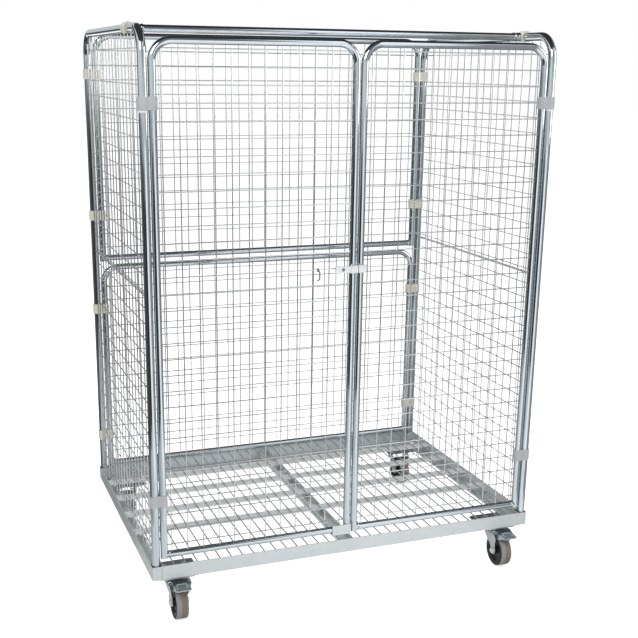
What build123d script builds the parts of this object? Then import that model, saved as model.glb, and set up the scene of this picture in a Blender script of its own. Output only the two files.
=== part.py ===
from build123d import *
from math import cos, radians, sin, sqrt
import os

# Steel roll container. X runs left to right, the doors face -Y and +Z is up, in millimetres.
# The floor is z = 0. Places are worked out from the middle of the base, and every piece is then
# moved by centre_shift, so that the origin lies under the middle of the whole container.

# Overall size
base_width = 1300.0
base_depth = 900.0
overall_height = 1760.0

# Base: angle rails with the flange at the bottom, sockets, gussets, beam, crossbars and deck
rail_height = 45.0
rail_flange = 45.0
rail_thickness = 4.0
socket_width = 30.0
socket_wall = 2.0
gusset_length = 135.0
gusset_width = 115.0
gusset_inset_x = 18.0
gusset_inset_y = 8.0
gusset_thickness = 5.0
beam_width = 40.0
beam_wall = 3.0
crossbar_width = 40.0
crossbar_thickness = 6.0
crossbar_count = 4
crossbar_front_inset = 292.0
crossbar_rear_inset = 158.0
deck_wire = 4.4
deck_wire_count = 35
deck_drop = 3.0

# Round pieces have few sides where they only repeat, and are true cylinders where another piece turns on them
tube_sides = 12
rod_sides = 8
wheel_sides = 30

# Tubes of the cage
side_tube = 25.0
side_bend = 70.0
panel_tube = 22.0
panel_bend = 55.0
foot_rail = 21.0
tube_wall = 1.5
leg_gap = 2.5
door_gap = 3.0
floor_gap = 5.0
door_floor_gap = 21.0
door_drop = 32.5
back_drop = 5.0
back_split_height = 966.0
back_split_gap = 12.0
mid_rod = 8.0
mid_rod_rise = 750.0
mid_rod_row_gap = 12.0

# Wire mesh: square wires with the section of a 4 mm round wire, in two layers
wire = 3.5
mesh_pitch = 48.5
row_start = 32.0
row_end = 69.0
weld_gap = 0.4
layer_gap = 0.1

# Plastic clips and collars
clip_wall = 3.0
clip_bevel = 7.7
rear_clip_height = 33.0
lower_clip_rise = 48.0
split_clip_insets = (184.0, 152.0)
upper_clip_drop = 48.0
hinge_clip_height = 36.0
lower_hinge_rise = 144.0
upper_hinge_drop = 96.0
hinge_wire_gap = 3.0
collar_height = 6.0
collar_wall = 2.0
running_gap = 0.05
seat_gap = 0.3

# Tie bar
tie_bar_setback = 185.0
hook_wall = 6.0
hook_length = 34.0
hook_socket = 25.0
hook_socket_wall = 2.0
hook_slot = 14.0

# Latch, door stop and mesh hook
latch_height = 1068.0
sleeve_height = 24.0
sleeve_depth = 8.0
sleeve_wall = 1.5
guide_length = 23.0
keeper_length = 25.0
sleeve_inset = 1.0
bolt_length = 70.0
bolt_setback = 2.0
bolt_tail = 17.0
bolt_gap = 0.3
padlock_hole = 10.0
padlock_hole_reach = 25.0
stop_length = 63.0
stop_height = 35.0
stop_drop = 6.0
stop_lip = 20.0
stop_thickness = 2.5
hook_wire = 3.0
hook_drop = 40.0
hook_bite = 12.0
hook_column = 2
hook_side = 12.0
hook_rise = 816.0

# Castors
wheel_diameter = 108.0
wheel_width = 38.0
castor_height = 140.0
castor_trail = 29.0
castor_inset_x = 85.0
castor_inset_y = 52.0
castor_plate_length = 105.0
castor_plate_width = 84.0
castor_plate_thickness = 4.0
race_diameter = 44.0
race_height = 3.7
king_pin = 14.0
king_pin_head = 24.0
king_pin_head_height = 5.0
head_diameter = 62.0
head_height = 6.0
fork_sheet = 3.0
fork_clearance = 3.0
fork_back = 16.0
fork_front = 30.0
fork_foot = 28.0
fork_knee = 70.0
fork_flare = 13.0
axle = 10.0
axle_head_width = 16.0
axle_head_height = 7.0
tyre_depth = 14.0
tyre_shoulder = 2.0
hub_boss = 26.0

# Brake pedals on the front castors
pedal_width = 50.0
pedal_length = 62.0
pedal_sheet = 3.0
pedal_lift = 10.0
pedal_slope = 8.0
pedal_pin = 6.0
pedal_barrel = 11.0
pedal_pivot_reach = 38.0
pedal_pivot_height = 120.0
pedal_ear = 12.0
pedal_rib = 4.0
pedal_rib_height = 1.0
pedal_rib_margin = 8.0
pedal_rib_length = 30.0
pad_start = 9.0
pad_length = 11.0
pad_drop = 10.0
pad_margin = 2.0

# Levels
base_bottom = castor_height + gusset_thickness
flange_top = base_bottom + rail_thickness
base_top = base_bottom + rail_height
deck_top = base_top - deck_drop
side_top = overall_height - side_tube / 2
back_bottom = base_top + floor_gap + panel_tube / 2
door_foot = base_top + door_floor_gap
door_bottom = door_foot + panel_tube / 2
door_top = side_top - door_drop
back_top = side_top - back_drop
back_lower_top = back_split_height - back_split_gap / 2 - panel_tube / 2
back_upper_bottom = back_split_height + back_split_gap / 2 + panel_tube / 2

# Places of the upright tubes
leg_x = base_width / 2 - socket_width / 2
leg_y = base_depth / 2 - socket_width / 2
leg_pitch = side_tube / 2 + panel_tube / 2 + leg_gap
panel_x = leg_x - leg_pitch
meeting_x = door_gap / 2 + panel_tube / 2
door_x = (panel_x + meeting_x) / 2
door_half = (panel_x - meeting_x) / 2

# Rows of the mesh, which all the panels share, and the rows that the hinge clips sit on
first_row = door_bottom + row_start
row_span = door_top - row_end - first_row
row_pitch = row_span / round(row_span / mesh_pitch)

# Castor levels and places
head_top = castor_height - castor_plate_thickness - race_height - seat_gap
crown_top = head_top - head_height
crown_bottom = crown_top - fork_sheet
castor_x = base_width / 2 - castor_inset_x
castor_y = base_depth / 2 - castor_inset_y
axle_height = wheel_diameter / 2
fork_inside = wheel_width / 2 + fork_clearance
fork_outside = fork_inside + fork_sheet

# The pedals reach furthest forward, and the rear rail furthest back
pedal_reach = pedal_pivot_reach + pedal_length * cos(radians(pedal_slope))
pedal_front = castor_y + pedal_reach + (pedal_lift + pedal_sheet) * sin(radians(pedal_slope))
centre_shift = (pedal_front - base_depth / 2) / 2


def row_height(row):
    """Height of one row of wires."""
    return first_row + row_pitch * row


def nearest_row(rise):
    """Height of the row nearest to a rise above the first row."""
    return row_height(round(rise / row_pitch))


hinge_levels = (nearest_row(lower_hinge_rise), nearest_row(row_span - upper_hinge_drop))
LOW = (Align.CENTER, Align.CENTER, Align.MIN)
CORNERS = [(x, y) for x in (-1, 1) for y in (-1, 1)]


def save(node, *pieces):
    """Write the solids of one node, moved so that the origin is under the container's middle."""
    solids = [solid for piece in pieces for solid in piece.solids()]
    export_step(Pos(0, centre_shift, 0) * Compound(solids), f"parts/{node}.step")


def save_pair(node, *right):
    """Write the right-hand node and its mirror image on the left."""
    save(f"right_{node}", *right)
    save(f"left_{node}", *[piece.mirror(Plane.YZ) for piece in right])


def block(x0, x1, y0, y1, z0, z1):
    """Box between two corners."""
    middle = Pos((x0 + x1) / 2, (y0 + y1) / 2, (z0 + z1) / 2)
    return middle * Box(x1 - x0, y1 - y0, z1 - z0)


def rod_x(x0, x1, y, z, diameter, sides):
    """Bar along X with its corners on the given diameter."""
    return Pos(x0, y, z) * Rot(0, 90, 0) * extrude(RegularPolygon(diameter / 2, sides), x1 - x0)


def stud(z, diameter, height, sides):
    """Upright bar on the Z axis, standing on z, with its corners on the given diameter."""
    return Pos(0, 0, z) * extrude(RegularPolygon(diameter / 2, sides), height)


def disc(diameter, width):
    """Wheel disc across the X axis that stands on one of its flats."""
    outline = RegularPolygon(diameter / 2, wheel_sides, major_radius=False, rotation=180 / wheel_sides)
    return Pos(-width / 2, 0, 0) * Rot(0, 90, 0) * extrude(outline, width)


# Base

def angle_rail(length, flange_length):
    """Angle rail along X, its outer face at y = 0 and its flange towards +Y."""
    rail = block(-length / 2, length / 2, 0, rail_thickness, base_bottom, base_top)
    return rail + block(-flange_length / 2, flange_length / 2, 0, rail_flange, base_bottom, flange_top)


def base_frame():
    """Corner sockets, the rails that butt against them and the castor gussets under the corners."""
    front_length = base_width - 2 * socket_width
    front = Pos(0, -base_depth / 2, 0) * angle_rail(front_length, front_length)
    side = angle_rail(base_depth - 2 * socket_width, base_depth - 2 * rail_flange)
    left = Pos(-base_width / 2, 0, 0) * Rot(0, 0, -90) * side
    save("base_front_rail", front)
    save("base_rear_rail", Rot(0, 0, 180) * front)
    save("base_left_rail", left)
    save("base_right_rail", Rot(0, 0, 180) * left)
    tube = Rectangle(socket_width, socket_width) - Rectangle(
        socket_width - 2 * socket_wall, socket_width - 2 * socket_wall)
    socket = extrude(tube, rail_height)
    save("corner_sockets", *[Pos(x * leg_x, y * leg_y, base_bottom) * socket for x, y in CORNERS])
    gusset = Pos(0, 0, castor_height) * Box(gusset_length, gusset_width, gusset_thickness, align=LOW)
    gusset_x = base_width / 2 - gusset_inset_x - gusset_length / 2
    gusset_y = base_depth / 2 - gusset_inset_y - gusset_width / 2
    save("castor_gussets", *[Pos(x * gusset_x, y * gusset_y, 0) * gusset for x, y in CORNERS])


def deck():
    """Channel beam, crossbars and deck wires, stacked on the flanges of the rails."""
    inner_x = base_width / 2 - rail_thickness - layer_gap
    inner_y = base_depth / 2 - rail_thickness - layer_gap
    wire_bottom = deck_top - deck_wire
    bar_bottom = wire_bottom - layer_gap - crossbar_thickness
    beam_top = bar_bottom - layer_gap
    beam = block(-beam_width / 2, beam_width / 2, -inner_y, inner_y, flange_top, beam_top)
    trough = beam_width / 2 - beam_wall
    beam -= block(-trough, trough, -inner_y, inner_y, flange_top + beam_wall, beam_top)
    save("base_centre_beam", beam)
    first_bar = crossbar_front_inset - base_depth / 2
    bar_step = (base_depth / 2 - crossbar_rear_inset - first_bar) / (crossbar_count - 1)
    bar_places = [first_bar + bar_step * i for i in range(crossbar_count)]
    bar = block(-inner_x, inner_x, -crossbar_width / 2, crossbar_width / 2,
                bar_bottom, bar_bottom + crossbar_thickness)
    save("deck_crossbars", *[Pos(0, y, 0) * bar for y in bar_places])
    edge = leg_x - socket_width / 2 - deck_wire
    step = 2 * edge / (deck_wire_count - 1)
    strand = block(-deck_wire / 2, deck_wire / 2, -inner_y, inner_y, wire_bottom, deck_top)
    save("deck_wires", *[Pos(step * i - edge, 0, 0) * strand for i in range(deck_wire_count)])


# Bent tube frames with welded mesh, made in the XZ plane

def bent_tube(half, foot, top, tube, bend):
    """Inverted U of tube, with its axis `half` either side of the middle and its feet at z = foot."""
    path = FilletPolyline((-half, 0, foot), (-half, 0, top), (half, 0, top), (half, 0, foot), radius=bend)
    section = Plane((-half, 0, foot)) * RegularPolygon(tube / 2, tube_sides)
    return sweep(section, path=path)


def leg_bores(half, foot, top, tube, bend):
    """Bores of the straight legs of a bent tube."""
    bore = stud(foot, tube - 2 * tube_wall, top - bend - foot, rod_sides)
    return Pos(-half, 0, 0) * bore + Pos(half, 0, 0) * bore


def inner_reach(outer, bend, tube, past):
    """Distance to the inside of a bent tube, `past` beyond the start of its bend."""
    if past <= 0:
        return outer - tube / 2
    return outer - bend + sqrt((bend - tube / 2) ** 2 - past ** 2)


def mesh(half, low, top, tube, bend, hinged):
    """Welded wires inside a bent tube, from the wire ends at z = low up to its top rail.

    Where a hinge clip turns on the tube at -X, its row ends clear of the clip.
    """
    columns = round(2 * half / mesh_pitch)
    layer = (wire + layer_gap) / 2
    wires = []
    for i in range(columns):
        x = -half + 2 * half * (i + 0.5) / columns
        high = inner_reach(top, bend, tube, abs(x) + wire / 2 - half + bend) - weld_gap
        wires.append(block(x - wire / 2, x + wire / 2, -layer - wire / 2, -layer + wire / 2, low, high))
    for z in rows_between(low, top - tube / 2):
        end = inner_reach(half, bend, tube, z + wire / 2 - top + bend) - weld_gap
        start = -end
        if hinged and z in hinge_levels:
            start = side_tube / 2 + clip_wall + hinge_wire_gap - half
        wires.append(block(start, end, layer - wire / 2, layer + wire / 2, z - wire / 2, z + wire / 2))
    return wires


def rows_between(low, high):
    """Heights of the rows that lie clear between two levels."""
    count = int((high - first_row) / row_pitch) + 1
    return [row_height(k) for k in range(count) if low + wire < row_height(k) < high - wire]


def panel_frame(half, bottom, top):
    """Door or back frame: a bent tube with a straight rail between its feet."""
    foot = bottom - panel_tube / 2
    bent = bent_tube(half, foot, top, panel_tube, panel_bend)
    rail = rod_x(-half, half, 0, bottom, foot_rail, tube_sides)
    rail_bore = rod_x(-half, half, 0, bottom, foot_rail - 2 * tube_wall, rod_sides)
    return bent + rail - leg_bores(half, foot, top, panel_tube, panel_bend) - rail_bore


def panel_mesh(half, bottom, top, hinged):
    """Mesh of a door or back panel."""
    return mesh(half, bottom + foot_rail / 2 + weld_gap, top, panel_tube, panel_bend, hinged)


def sides():
    """Side frames that stand in the sockets, each with its mesh and a middle rod."""
    frame = bent_tube(leg_y, base_bottom, side_top, side_tube, side_bend)
    frame -= leg_bores(leg_y, base_bottom, side_top, side_tube, side_bend)
    wires = mesh(leg_y, base_top + floor_gap, side_top, side_tube, side_bend, True)
    end = leg_y - side_tube / 2 - weld_gap
    rod_level = nearest_row(mid_rod_rise) - mid_rod_row_gap
    rod = rod_x(-end, end, mid_rod / 2 + layer_gap, rod_level, mid_rod, rod_sides)
    place = Pos(leg_x, 0, 0) * Rot(0, 0, 90)
    save_pair("side_frame", place * frame)
    save_pair("side_mesh", *[place * strand for strand in wires])
    save_pair("side_rod", place * rod)


def back():
    """Upper and lower back panels, held to the rear legs by plastic clips that sit between the rows."""
    for name, bottom, top in (("lower", back_bottom, back_lower_top), ("upper", back_upper_bottom, back_top)):
        place = Pos(0, leg_y, 0) * Rot(0, 0, 180)
        save(f"back_{name}_frame", place * panel_frame(panel_x, bottom, top))
        save(f"back_{name}_mesh", *[place * strand for strand in panel_mesh(panel_x, bottom, top, False)])
    clip = rear_clip()
    split_rise = back_split_height - first_row
    rises = (lower_clip_rise, split_rise - split_clip_insets[0],
             split_rise + split_clip_insets[1], row_span - upper_clip_drop)
    over_row = wire / 2 + seat_gap
    left = [Pos(-leg_x, leg_y, nearest_row(rise) + over_row) * clip for rise in rises]
    save("rear_clips_left", *left)
    save("rear_clips_right", *[piece.mirror(Plane.YZ) for piece in left])


def clip_outline():
    """Outline of a clip round a side leg at the origin and a panel leg beside it towards +X."""
    side_eye = side_tube / 2 + clip_wall
    panel_eye = panel_tube / 2 + clip_wall
    body = Rectangle(leg_pitch + side_eye + panel_eye, 2 * side_eye)
    return Pos((leg_pitch + panel_eye - side_eye) / 2, 0) * chamfer(body.vertices(), clip_bevel)


def rear_clip():
    """Clip with one eye on the side leg and one on the back leg."""
    body = clip_outline()
    for x, tube in ((0, side_tube), (leg_pitch, panel_tube)):
        body -= Pos(x, 0) * RegularPolygon(tube / 2 + layer_gap, rod_sides, major_radius=False)
    return extrude(body, rear_clip_height)


# Doors

def hinge_clip():
    """Figure-eight clip that turns on the side leg and carries the door tube towards +X."""
    body = clip_outline()
    body -= Circle(side_tube / 2 + running_gap)
    body -= Pos(leg_pitch, 0) * Circle(panel_tube / 2 + running_gap)
    return extrude(body, hinge_clip_height)


def doors():
    """Two doors, the hinge clips that carry them and the collars under the upper clips."""
    place = Pos(door_x, -leg_y, 0) * Rot(0, 0, 180)
    save_pair("door_frame", place * panel_frame(door_half, door_bottom, door_top))
    wires = panel_mesh(door_half, door_bottom, door_top, True)
    save_pair("door_mesh", *[place * strand for strand in wires])
    clip_feet = [level - hinge_clip_height / 2 for level in hinge_levels]
    save_pair("hinge_clips", *[Pos(leg_x, -leg_y, z) * Rot(0, 0, 180) * hinge_clip() for z in clip_feet])
    bore = side_tube / 2 + running_gap
    ring = RegularPolygon(bore + collar_wall, tube_sides) - RegularPolygon(bore, tube_sides)
    collar = extrude(ring, collar_height)
    collar_foot = max(clip_feet) - seat_gap - collar_height
    save("hinge_collars", *[Pos(side * leg_x, -leg_y, collar_foot) * collar for side in (-1, 1)])


def tie_bar():
    """Straight bar across the top, with a plastic hook at each end that snaps over the side rail."""
    bar_y = tie_bar_setback - base_depth / 2
    rail_face = leg_x - side_tube / 2
    bar_end = rail_face - hook_wall
    bar = rod_x(-bar_end, bar_end, bar_y, side_top, panel_tube, tube_sides)
    save("tie_bar", bar - rod_x(-bar_end, bar_end, bar_y, side_top, panel_tube - 2 * tube_wall, rod_sides))
    over = Pos(leg_x, bar_y, side_top) * Rot(90, 0, 0)
    hook = over * extrude(RegularPolygon(side_tube / 2 + hook_wall, tube_sides), hook_length / 2, both=True)
    socket_diameter = panel_tube + 2 * hook_socket_wall
    hook += rod_x(bar_end - hook_socket, leg_x, bar_y, side_top, socket_diameter, tube_sides)
    hook -= over * extrude(RegularPolygon(side_tube / 2 + layer_gap, tube_sides), hook_length, both=True)
    bar_bore = panel_tube + 2 * layer_gap
    hook -= rod_x(bar_end - hook_socket, bar_end + layer_gap, bar_y, side_top, bar_bore, tube_sides)
    hook -= block(leg_x - hook_slot / 2, leg_x + hook_slot / 2, bar_y - hook_length, bar_y + hook_length,
                  side_top - side_tube, side_top)
    save("tie_bar_hooks", hook, hook.mirror(Plane.YZ))


def latch():
    """Sliding bolt, drawn back: guide on the left door, keeper on the right door."""
    back_y = -leg_y - panel_tube / 2 - layer_gap
    front_y = back_y - sleeve_depth
    half = sleeve_height / 2

    def sleeve(x0, x1):
        shell = block(x0, x1, front_y, back_y, latch_height - half, latch_height + half)
        return shell - block(x0, x1, front_y + sleeve_wall, back_y - sleeve_wall,
                             latch_height - half + sleeve_wall, latch_height + half - sleeve_wall)

    guide_end = -sleeve_inset
    save("latch_guide", sleeve(guide_end - guide_length, guide_end))
    save("latch_keeper", sleeve(sleeve_inset, sleeve_inset + keeper_length))
    inset = sleeve_wall + bolt_gap
    nose = guide_end - bolt_setback
    tail = nose - bolt_length
    bolt = block(tail, nose, front_y + inset, back_y - inset,
                 latch_height - half + inset, latch_height + half - inset)
    bolt += block(tail, tail + bolt_tail, front_y, back_y - inset, latch_height - half, latch_height + half)
    hole = Pos(tail + padlock_hole_reach, (front_y + back_y) / 2, latch_height) * Rot(90, 0, 0)
    save("latch_bolt", bolt - hole * Cylinder(padlock_hole / 2, sleeve_depth))


def door_stop():
    """Angle plate on the foot of the left door, with a lip folded back under the door's foot."""
    x1 = -door_gap / 2
    x0 = x1 - stop_length
    back_y = -leg_y - panel_tube / 2 - layer_gap
    low = door_foot - stop_drop
    plate = block(x0, x1, back_y - stop_thickness, back_y, low, low + stop_height)
    lip = block(x0, x1, back_y - stop_thickness, back_y + stop_lip, low, low + stop_thickness)
    save("door_stop", plate + lip)


def mesh_hook():
    """Small bent hook that hangs over a row of the left door's mesh."""
    column_pitch = 2 * door_half / round(2 * door_half / mesh_pitch)
    x = -meeting_x - column_pitch * hook_column - hook_side
    inner = wire / 2 + seat_gap + hook_wire / 2
    row_y = -leg_y - (wire + layer_gap) / 2
    top = nearest_row(hook_rise) + inner
    tip = top - hook_bite
    path = Polyline((x, row_y + inner, tip), (x, row_y + inner, top), (x, row_y - inner, top),
                    (x, row_y - inner, top - hook_drop))
    section = Plane((x, row_y + inner, tip)) * Rectangle(hook_wire, hook_wire)
    save("mesh_hook", sweep(section, path=path, transition=Transition.RIGHT))


# Castors, made with the swivel axis on the Z axis and the wheel trailing towards -Y

def castor_plate():
    """Top plate with the fixed race and the king pin that carries the fork."""
    under = castor_height - castor_plate_thickness
    pin_foot = crown_bottom - seat_gap - king_pin_head_height
    plate = Pos(0, 0, under) * Box(castor_plate_length, castor_plate_width, castor_plate_thickness, align=LOW)
    plate += stud(under - race_height, race_diameter, race_height, tube_sides)
    plate += stud(pin_foot, king_pin, under - pin_foot, tube_sides)
    return plate + stud(pin_foot, king_pin_head, king_pin_head_height, rod_sides)


def eye(pin):
    """Eight-sided hole round a pin."""
    return RegularPolygon(pin / 2 + running_gap, rod_sides, major_radius=False)


def fork_reach(z):
    """Half width of the fork over its legs, which lean out above the knee."""
    return fork_outside + fork_flare * max(0, z - fork_knee) / (crown_top - fork_knee)


def fork_arch(sheet, low, top):
    """Outline of the fork seen from the front, drawn in by a thickness of sheet."""
    half = [(fork_reach(z) - sheet, z) for z in (low, fork_knee, top)]
    return make_face(Polyline(*half, *[(-x, z) for x, z in reversed(half)], close=True))


def castor_fork(braked):
    """Swivel head, crown and two tapered legs that lean out; braked forks have ears for the pedal's pin."""
    foot = Pos(-castor_trail, axle_height) * RegularPolygon(fork_foot / 2, tube_sides)
    shoulder = Polyline((fork_back, crown_bottom), (fork_back, crown_top), (-fork_front, crown_top),
                        (-fork_front, crown_bottom), close=True)
    leg = make_hull(foot.edges() + shoulder.edges())
    if braked:
        ear = Pos(-pedal_pivot_reach, pedal_pivot_height) * RegularPolygon(pedal_ear / 2, rod_sides)
        root = Polyline((0, crown_bottom), (0, crown_top), (-fork_front, crown_bottom), close=True)
        leg += make_hull(ear.edges() + root.edges())
        leg -= Pos(-pedal_pivot_reach, pedal_pivot_height) * eye(pedal_pin)
    leg -= Pos(-castor_trail, axle_height) * eye(axle)
    low = axle_height - fork_foot
    arch = fork_arch(0, low, crown_top) - fork_arch(fork_sheet, low, crown_bottom)
    fork = extrude(Plane.XZ * arch, base_depth, both=True)
    fork &= extrude(Plane.YZ * leg, fork_outside + fork_flare, both=True)
    mouth = fork_reach(crown_bottom) - fork_sheet
    fork -= block(-mouth, mouth, -pedal_pivot_reach - pedal_ear, -fork_front, crown_bottom, crown_top)
    fork += stud(crown_top, head_diameter, head_height, tube_sides)
    bore = Cylinder(king_pin / 2 + running_gap, head_top - crown_bottom, align=LOW)
    return fork - Pos(0, 0, crown_bottom) * bore


def castor_axle():
    """Axle bolt with its head and nut outside the fork."""
    pin = rod_x(-fork_outside - axle_head_height, fork_outside + axle_head_height, 0, 0, axle, tube_sides)
    nut = extrude(RegularPolygon(axle_head_width / 2, 6, major_radius=False), axle_head_height)
    turn = Rot(0, 90, 0)
    pin += Pos(fork_outside + layer_gap, 0, 0) * turn * nut
    return pin + Pos(-fork_outside - layer_gap - axle_head_height, 0, 0) * turn * nut


def wheel():
    """Hub that turns on the axle, with a boss each side, and the tyre with bevelled shoulders round it."""
    rim = wheel_diameter - 2 * tyre_depth
    hub = disc(rim - 2 * running_gap, wheel_width - fork_clearance) + rod_x(
        seat_gap - fork_inside, fork_inside - seat_gap, 0, 0, hub_boss, rod_sides)
    hub -= Rot(0, 90, 0) * Cylinder(axle / 2 + running_gap, 2 * fork_inside)
    tyre = disc(wheel_diameter, wheel_width)
    tyre = chamfer(tyre.edges().filter_by(Axis.X, reverse=True), tyre_shoulder)
    return hub, tyre - disc(rim, wheel_width)


def brake_pedal():
    """Pedal on its pivot pin: a plate with a raised rib on a web over the pin, and a pad under it."""
    barrel_half = fork_reach(pedal_pivot_height - pedal_barrel / 2) - fork_sheet - seat_gap
    pin_half = fork_reach(pedal_pivot_height)
    half = pedal_width / 2
    pad_half = wheel_width / 2 - pad_margin
    low = pedal_lift
    high = low + pedal_sheet
    pedal = block(-half, half, -pedal_length, 0, low, high)
    pedal += block(-half, half, -pedal_sheet, 0, 0, low)
    pedal += block(-pad_half, pad_half, -pad_start - pad_length, -pad_start, -pad_drop, low)
    rib_x = half - pedal_rib_margin
    rib_y = pedal_rib_margin - pedal_length
    rib = block(-rib_x, rib_x, rib_y, rib_y + pedal_rib_length, low, high + pedal_rib_height)
    rib -= block(pedal_rib - rib_x, rib_x - pedal_rib, rib_y, rib_y + pedal_rib_length - pedal_rib,
                 low, high + pedal_rib_height)
    pedal += rib + rod_x(-barrel_half, barrel_half, 0, 0, pedal_barrel, rod_sides)
    pedal = Rot(pedal_slope, 0, 0) * pedal
    return pedal + rod_x(-pin_half, pin_half, 0, 0, pedal_pin, rod_sides)


def castors():
    """Four swivel castors, the front two with brakes."""
    plate = castor_plate()
    bolt = Pos(0, -castor_trail, axle_height) * castor_axle()
    hub, tyre = [Pos(0, -castor_trail, axle_height) * piece for piece in wheel()]
    forks = {-1: castor_fork(True), 1: castor_fork(False)}
    pedal = Pos(0, -pedal_pivot_reach, pedal_pivot_height) * brake_pedal()
    for x, y in CORNERS:
        name = ("front_" if y < 0 else "rear_") + ("left" if x < 0 else "right")
        place = Pos(x * castor_x, y * castor_y, 0)
        save(f"{name}_castor_plate", place * plate)
        save(f"{name}_fork", place * forks[y])
        save(f"{name}_axle", place * bolt)
        save(f"{name}_hub", place * hub)
        save(f"{name}_tyre", place * tyre)
        if y < 0:
            save(f"{name}_brake_pedal", place * pedal)


os.makedirs("parts", exist_ok=True)
base_frame()
deck()
sides()
back()
doors()
tie_bar()
latch()
door_stop()
mesh_hook()
castors()
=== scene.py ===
"""Steel roll container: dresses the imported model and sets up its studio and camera."""
import logging
import math
from dataclasses import dataclass, replace
from enum import Enum
from typing import Sequence

import bmesh
import bpy
from mathutils import Matrix, Vector


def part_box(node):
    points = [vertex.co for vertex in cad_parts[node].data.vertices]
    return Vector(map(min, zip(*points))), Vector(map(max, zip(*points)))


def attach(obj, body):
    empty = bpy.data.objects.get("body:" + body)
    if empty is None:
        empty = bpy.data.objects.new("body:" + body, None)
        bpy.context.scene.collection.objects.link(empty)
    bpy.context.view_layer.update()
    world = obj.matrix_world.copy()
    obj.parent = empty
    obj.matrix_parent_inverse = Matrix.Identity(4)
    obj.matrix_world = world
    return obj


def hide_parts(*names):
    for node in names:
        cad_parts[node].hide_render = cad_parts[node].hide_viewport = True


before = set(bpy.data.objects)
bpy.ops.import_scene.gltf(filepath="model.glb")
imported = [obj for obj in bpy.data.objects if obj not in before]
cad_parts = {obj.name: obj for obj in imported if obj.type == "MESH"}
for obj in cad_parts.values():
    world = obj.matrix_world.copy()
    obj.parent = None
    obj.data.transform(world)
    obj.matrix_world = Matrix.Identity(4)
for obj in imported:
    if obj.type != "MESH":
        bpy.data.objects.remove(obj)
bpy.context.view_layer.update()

log = logging.getLogger("roll_container")

Point2 = tuple[float, float]
Colour = tuple[float, float, float]
Nodes = bpy.types.NodeTree
Socket = bpy.types.NodeSocket
Rings = list[list[bmesh.types.BMVert]]

MM = 0.001
X = Vector((1, 0, 0))
Y = Vector((0, 1, 0))
Z = Vector((0, 0, 1))
CORNERS = [(x, y) for x in (-1, 1) for y in (-1, 1)]

# The middle of the base, which the part's source shifts so that the origin is under the whole container
BASE_MIDDLE_Y = (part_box("base_front_rail")[0][1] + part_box("base_rear_rail")[1][1]) / 2 / MM

# Edges that turn by more than this stay sharp and can be rounded
SHARP_ANGLE = math.radians(38)

# Faces round a section
WIRE_SIDES = 8
DECK_WIRE_SIDES = 10
TRIM_SIDES = 12
HOOK_SIDES = 14
ROD_SIDES = 16
BOLT_SIDES = 20
WASHER_SIDES = 24
RAIL_SIDES = 28
TUBE_SIDES = 32
RACE_SIDES = 36
HEAD_SIDES = 40
HUB_SIDES = 48
TYRE_SIDES = 64


class Side(Enum):
    """Left and right half of the container, with the sign of X."""

    LEFT = -1
    RIGHT = 1

    @property
    def word(self) -> str:
        """Name of the side as the frame's nodes spell it."""
        return self.name.lower()


class Slot(Enum):
    """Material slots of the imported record."""

    BASE = "zinc_base"
    TUBE = "zinc_tube"
    WIRE = "zinc_wire"
    LATCH = "latch_steel"
    CASTOR = "castor_steel"
    BEIGE = "beige_plastic"
    GREY = "grey_plastic"
    WHITE = "white_plastic"
    HUB = "hub_plastic"
    TYRE = "tyre_rubber"


# Shader nodes

def joined(tree: Nodes, operation: str, first: Socket, second: Socket | float) -> Socket:
    """Join two values by a Math node.

    Args:
        tree: Nodes to add to.
        operation: What the node does with the values.
        first: Socket of the first value.
        second: The second value, or its socket.

    Returns:
        Socket of the result.
    """
    node = tree.nodes.new("ShaderNodeMath")
    node.operation = operation
    tree.links.new(first, node.inputs[0])
    if isinstance(second, float):
        node.inputs[1].default_value = second
    else:
        tree.links.new(second, node.inputs[1])
    return node.outputs[0]


def ramped(tree: Nodes, value: Socket, source: Point2 = (0.0, 1.0), target: Point2 = (0.0, 1.0)) -> Socket:
    """Map one range of a value onto another.

    Args:
        tree: Nodes to add to.
        value: Socket of the value.
        source: Ends of the range that it comes from.
        target: Ends of the range that it goes to.

    Returns:
        Socket of the mapped value.
    """
    node = tree.nodes.new("ShaderNodeMapRange")
    for name, limit in zip(("From Min", "From Max", "To Min", "To Max"), (*source, *target)):
        node.inputs[name].default_value = limit
    tree.links.new(value, node.inputs["Value"])
    return node.outputs["Result"]


class Effect(Enum):
    """Node groups that several finishes share."""

    MOTTLE = "surface_mottle"
    GRAIN = "fine_grain"
    DUST = "settled_dust"
    WEAR = "edge_wear"


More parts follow.
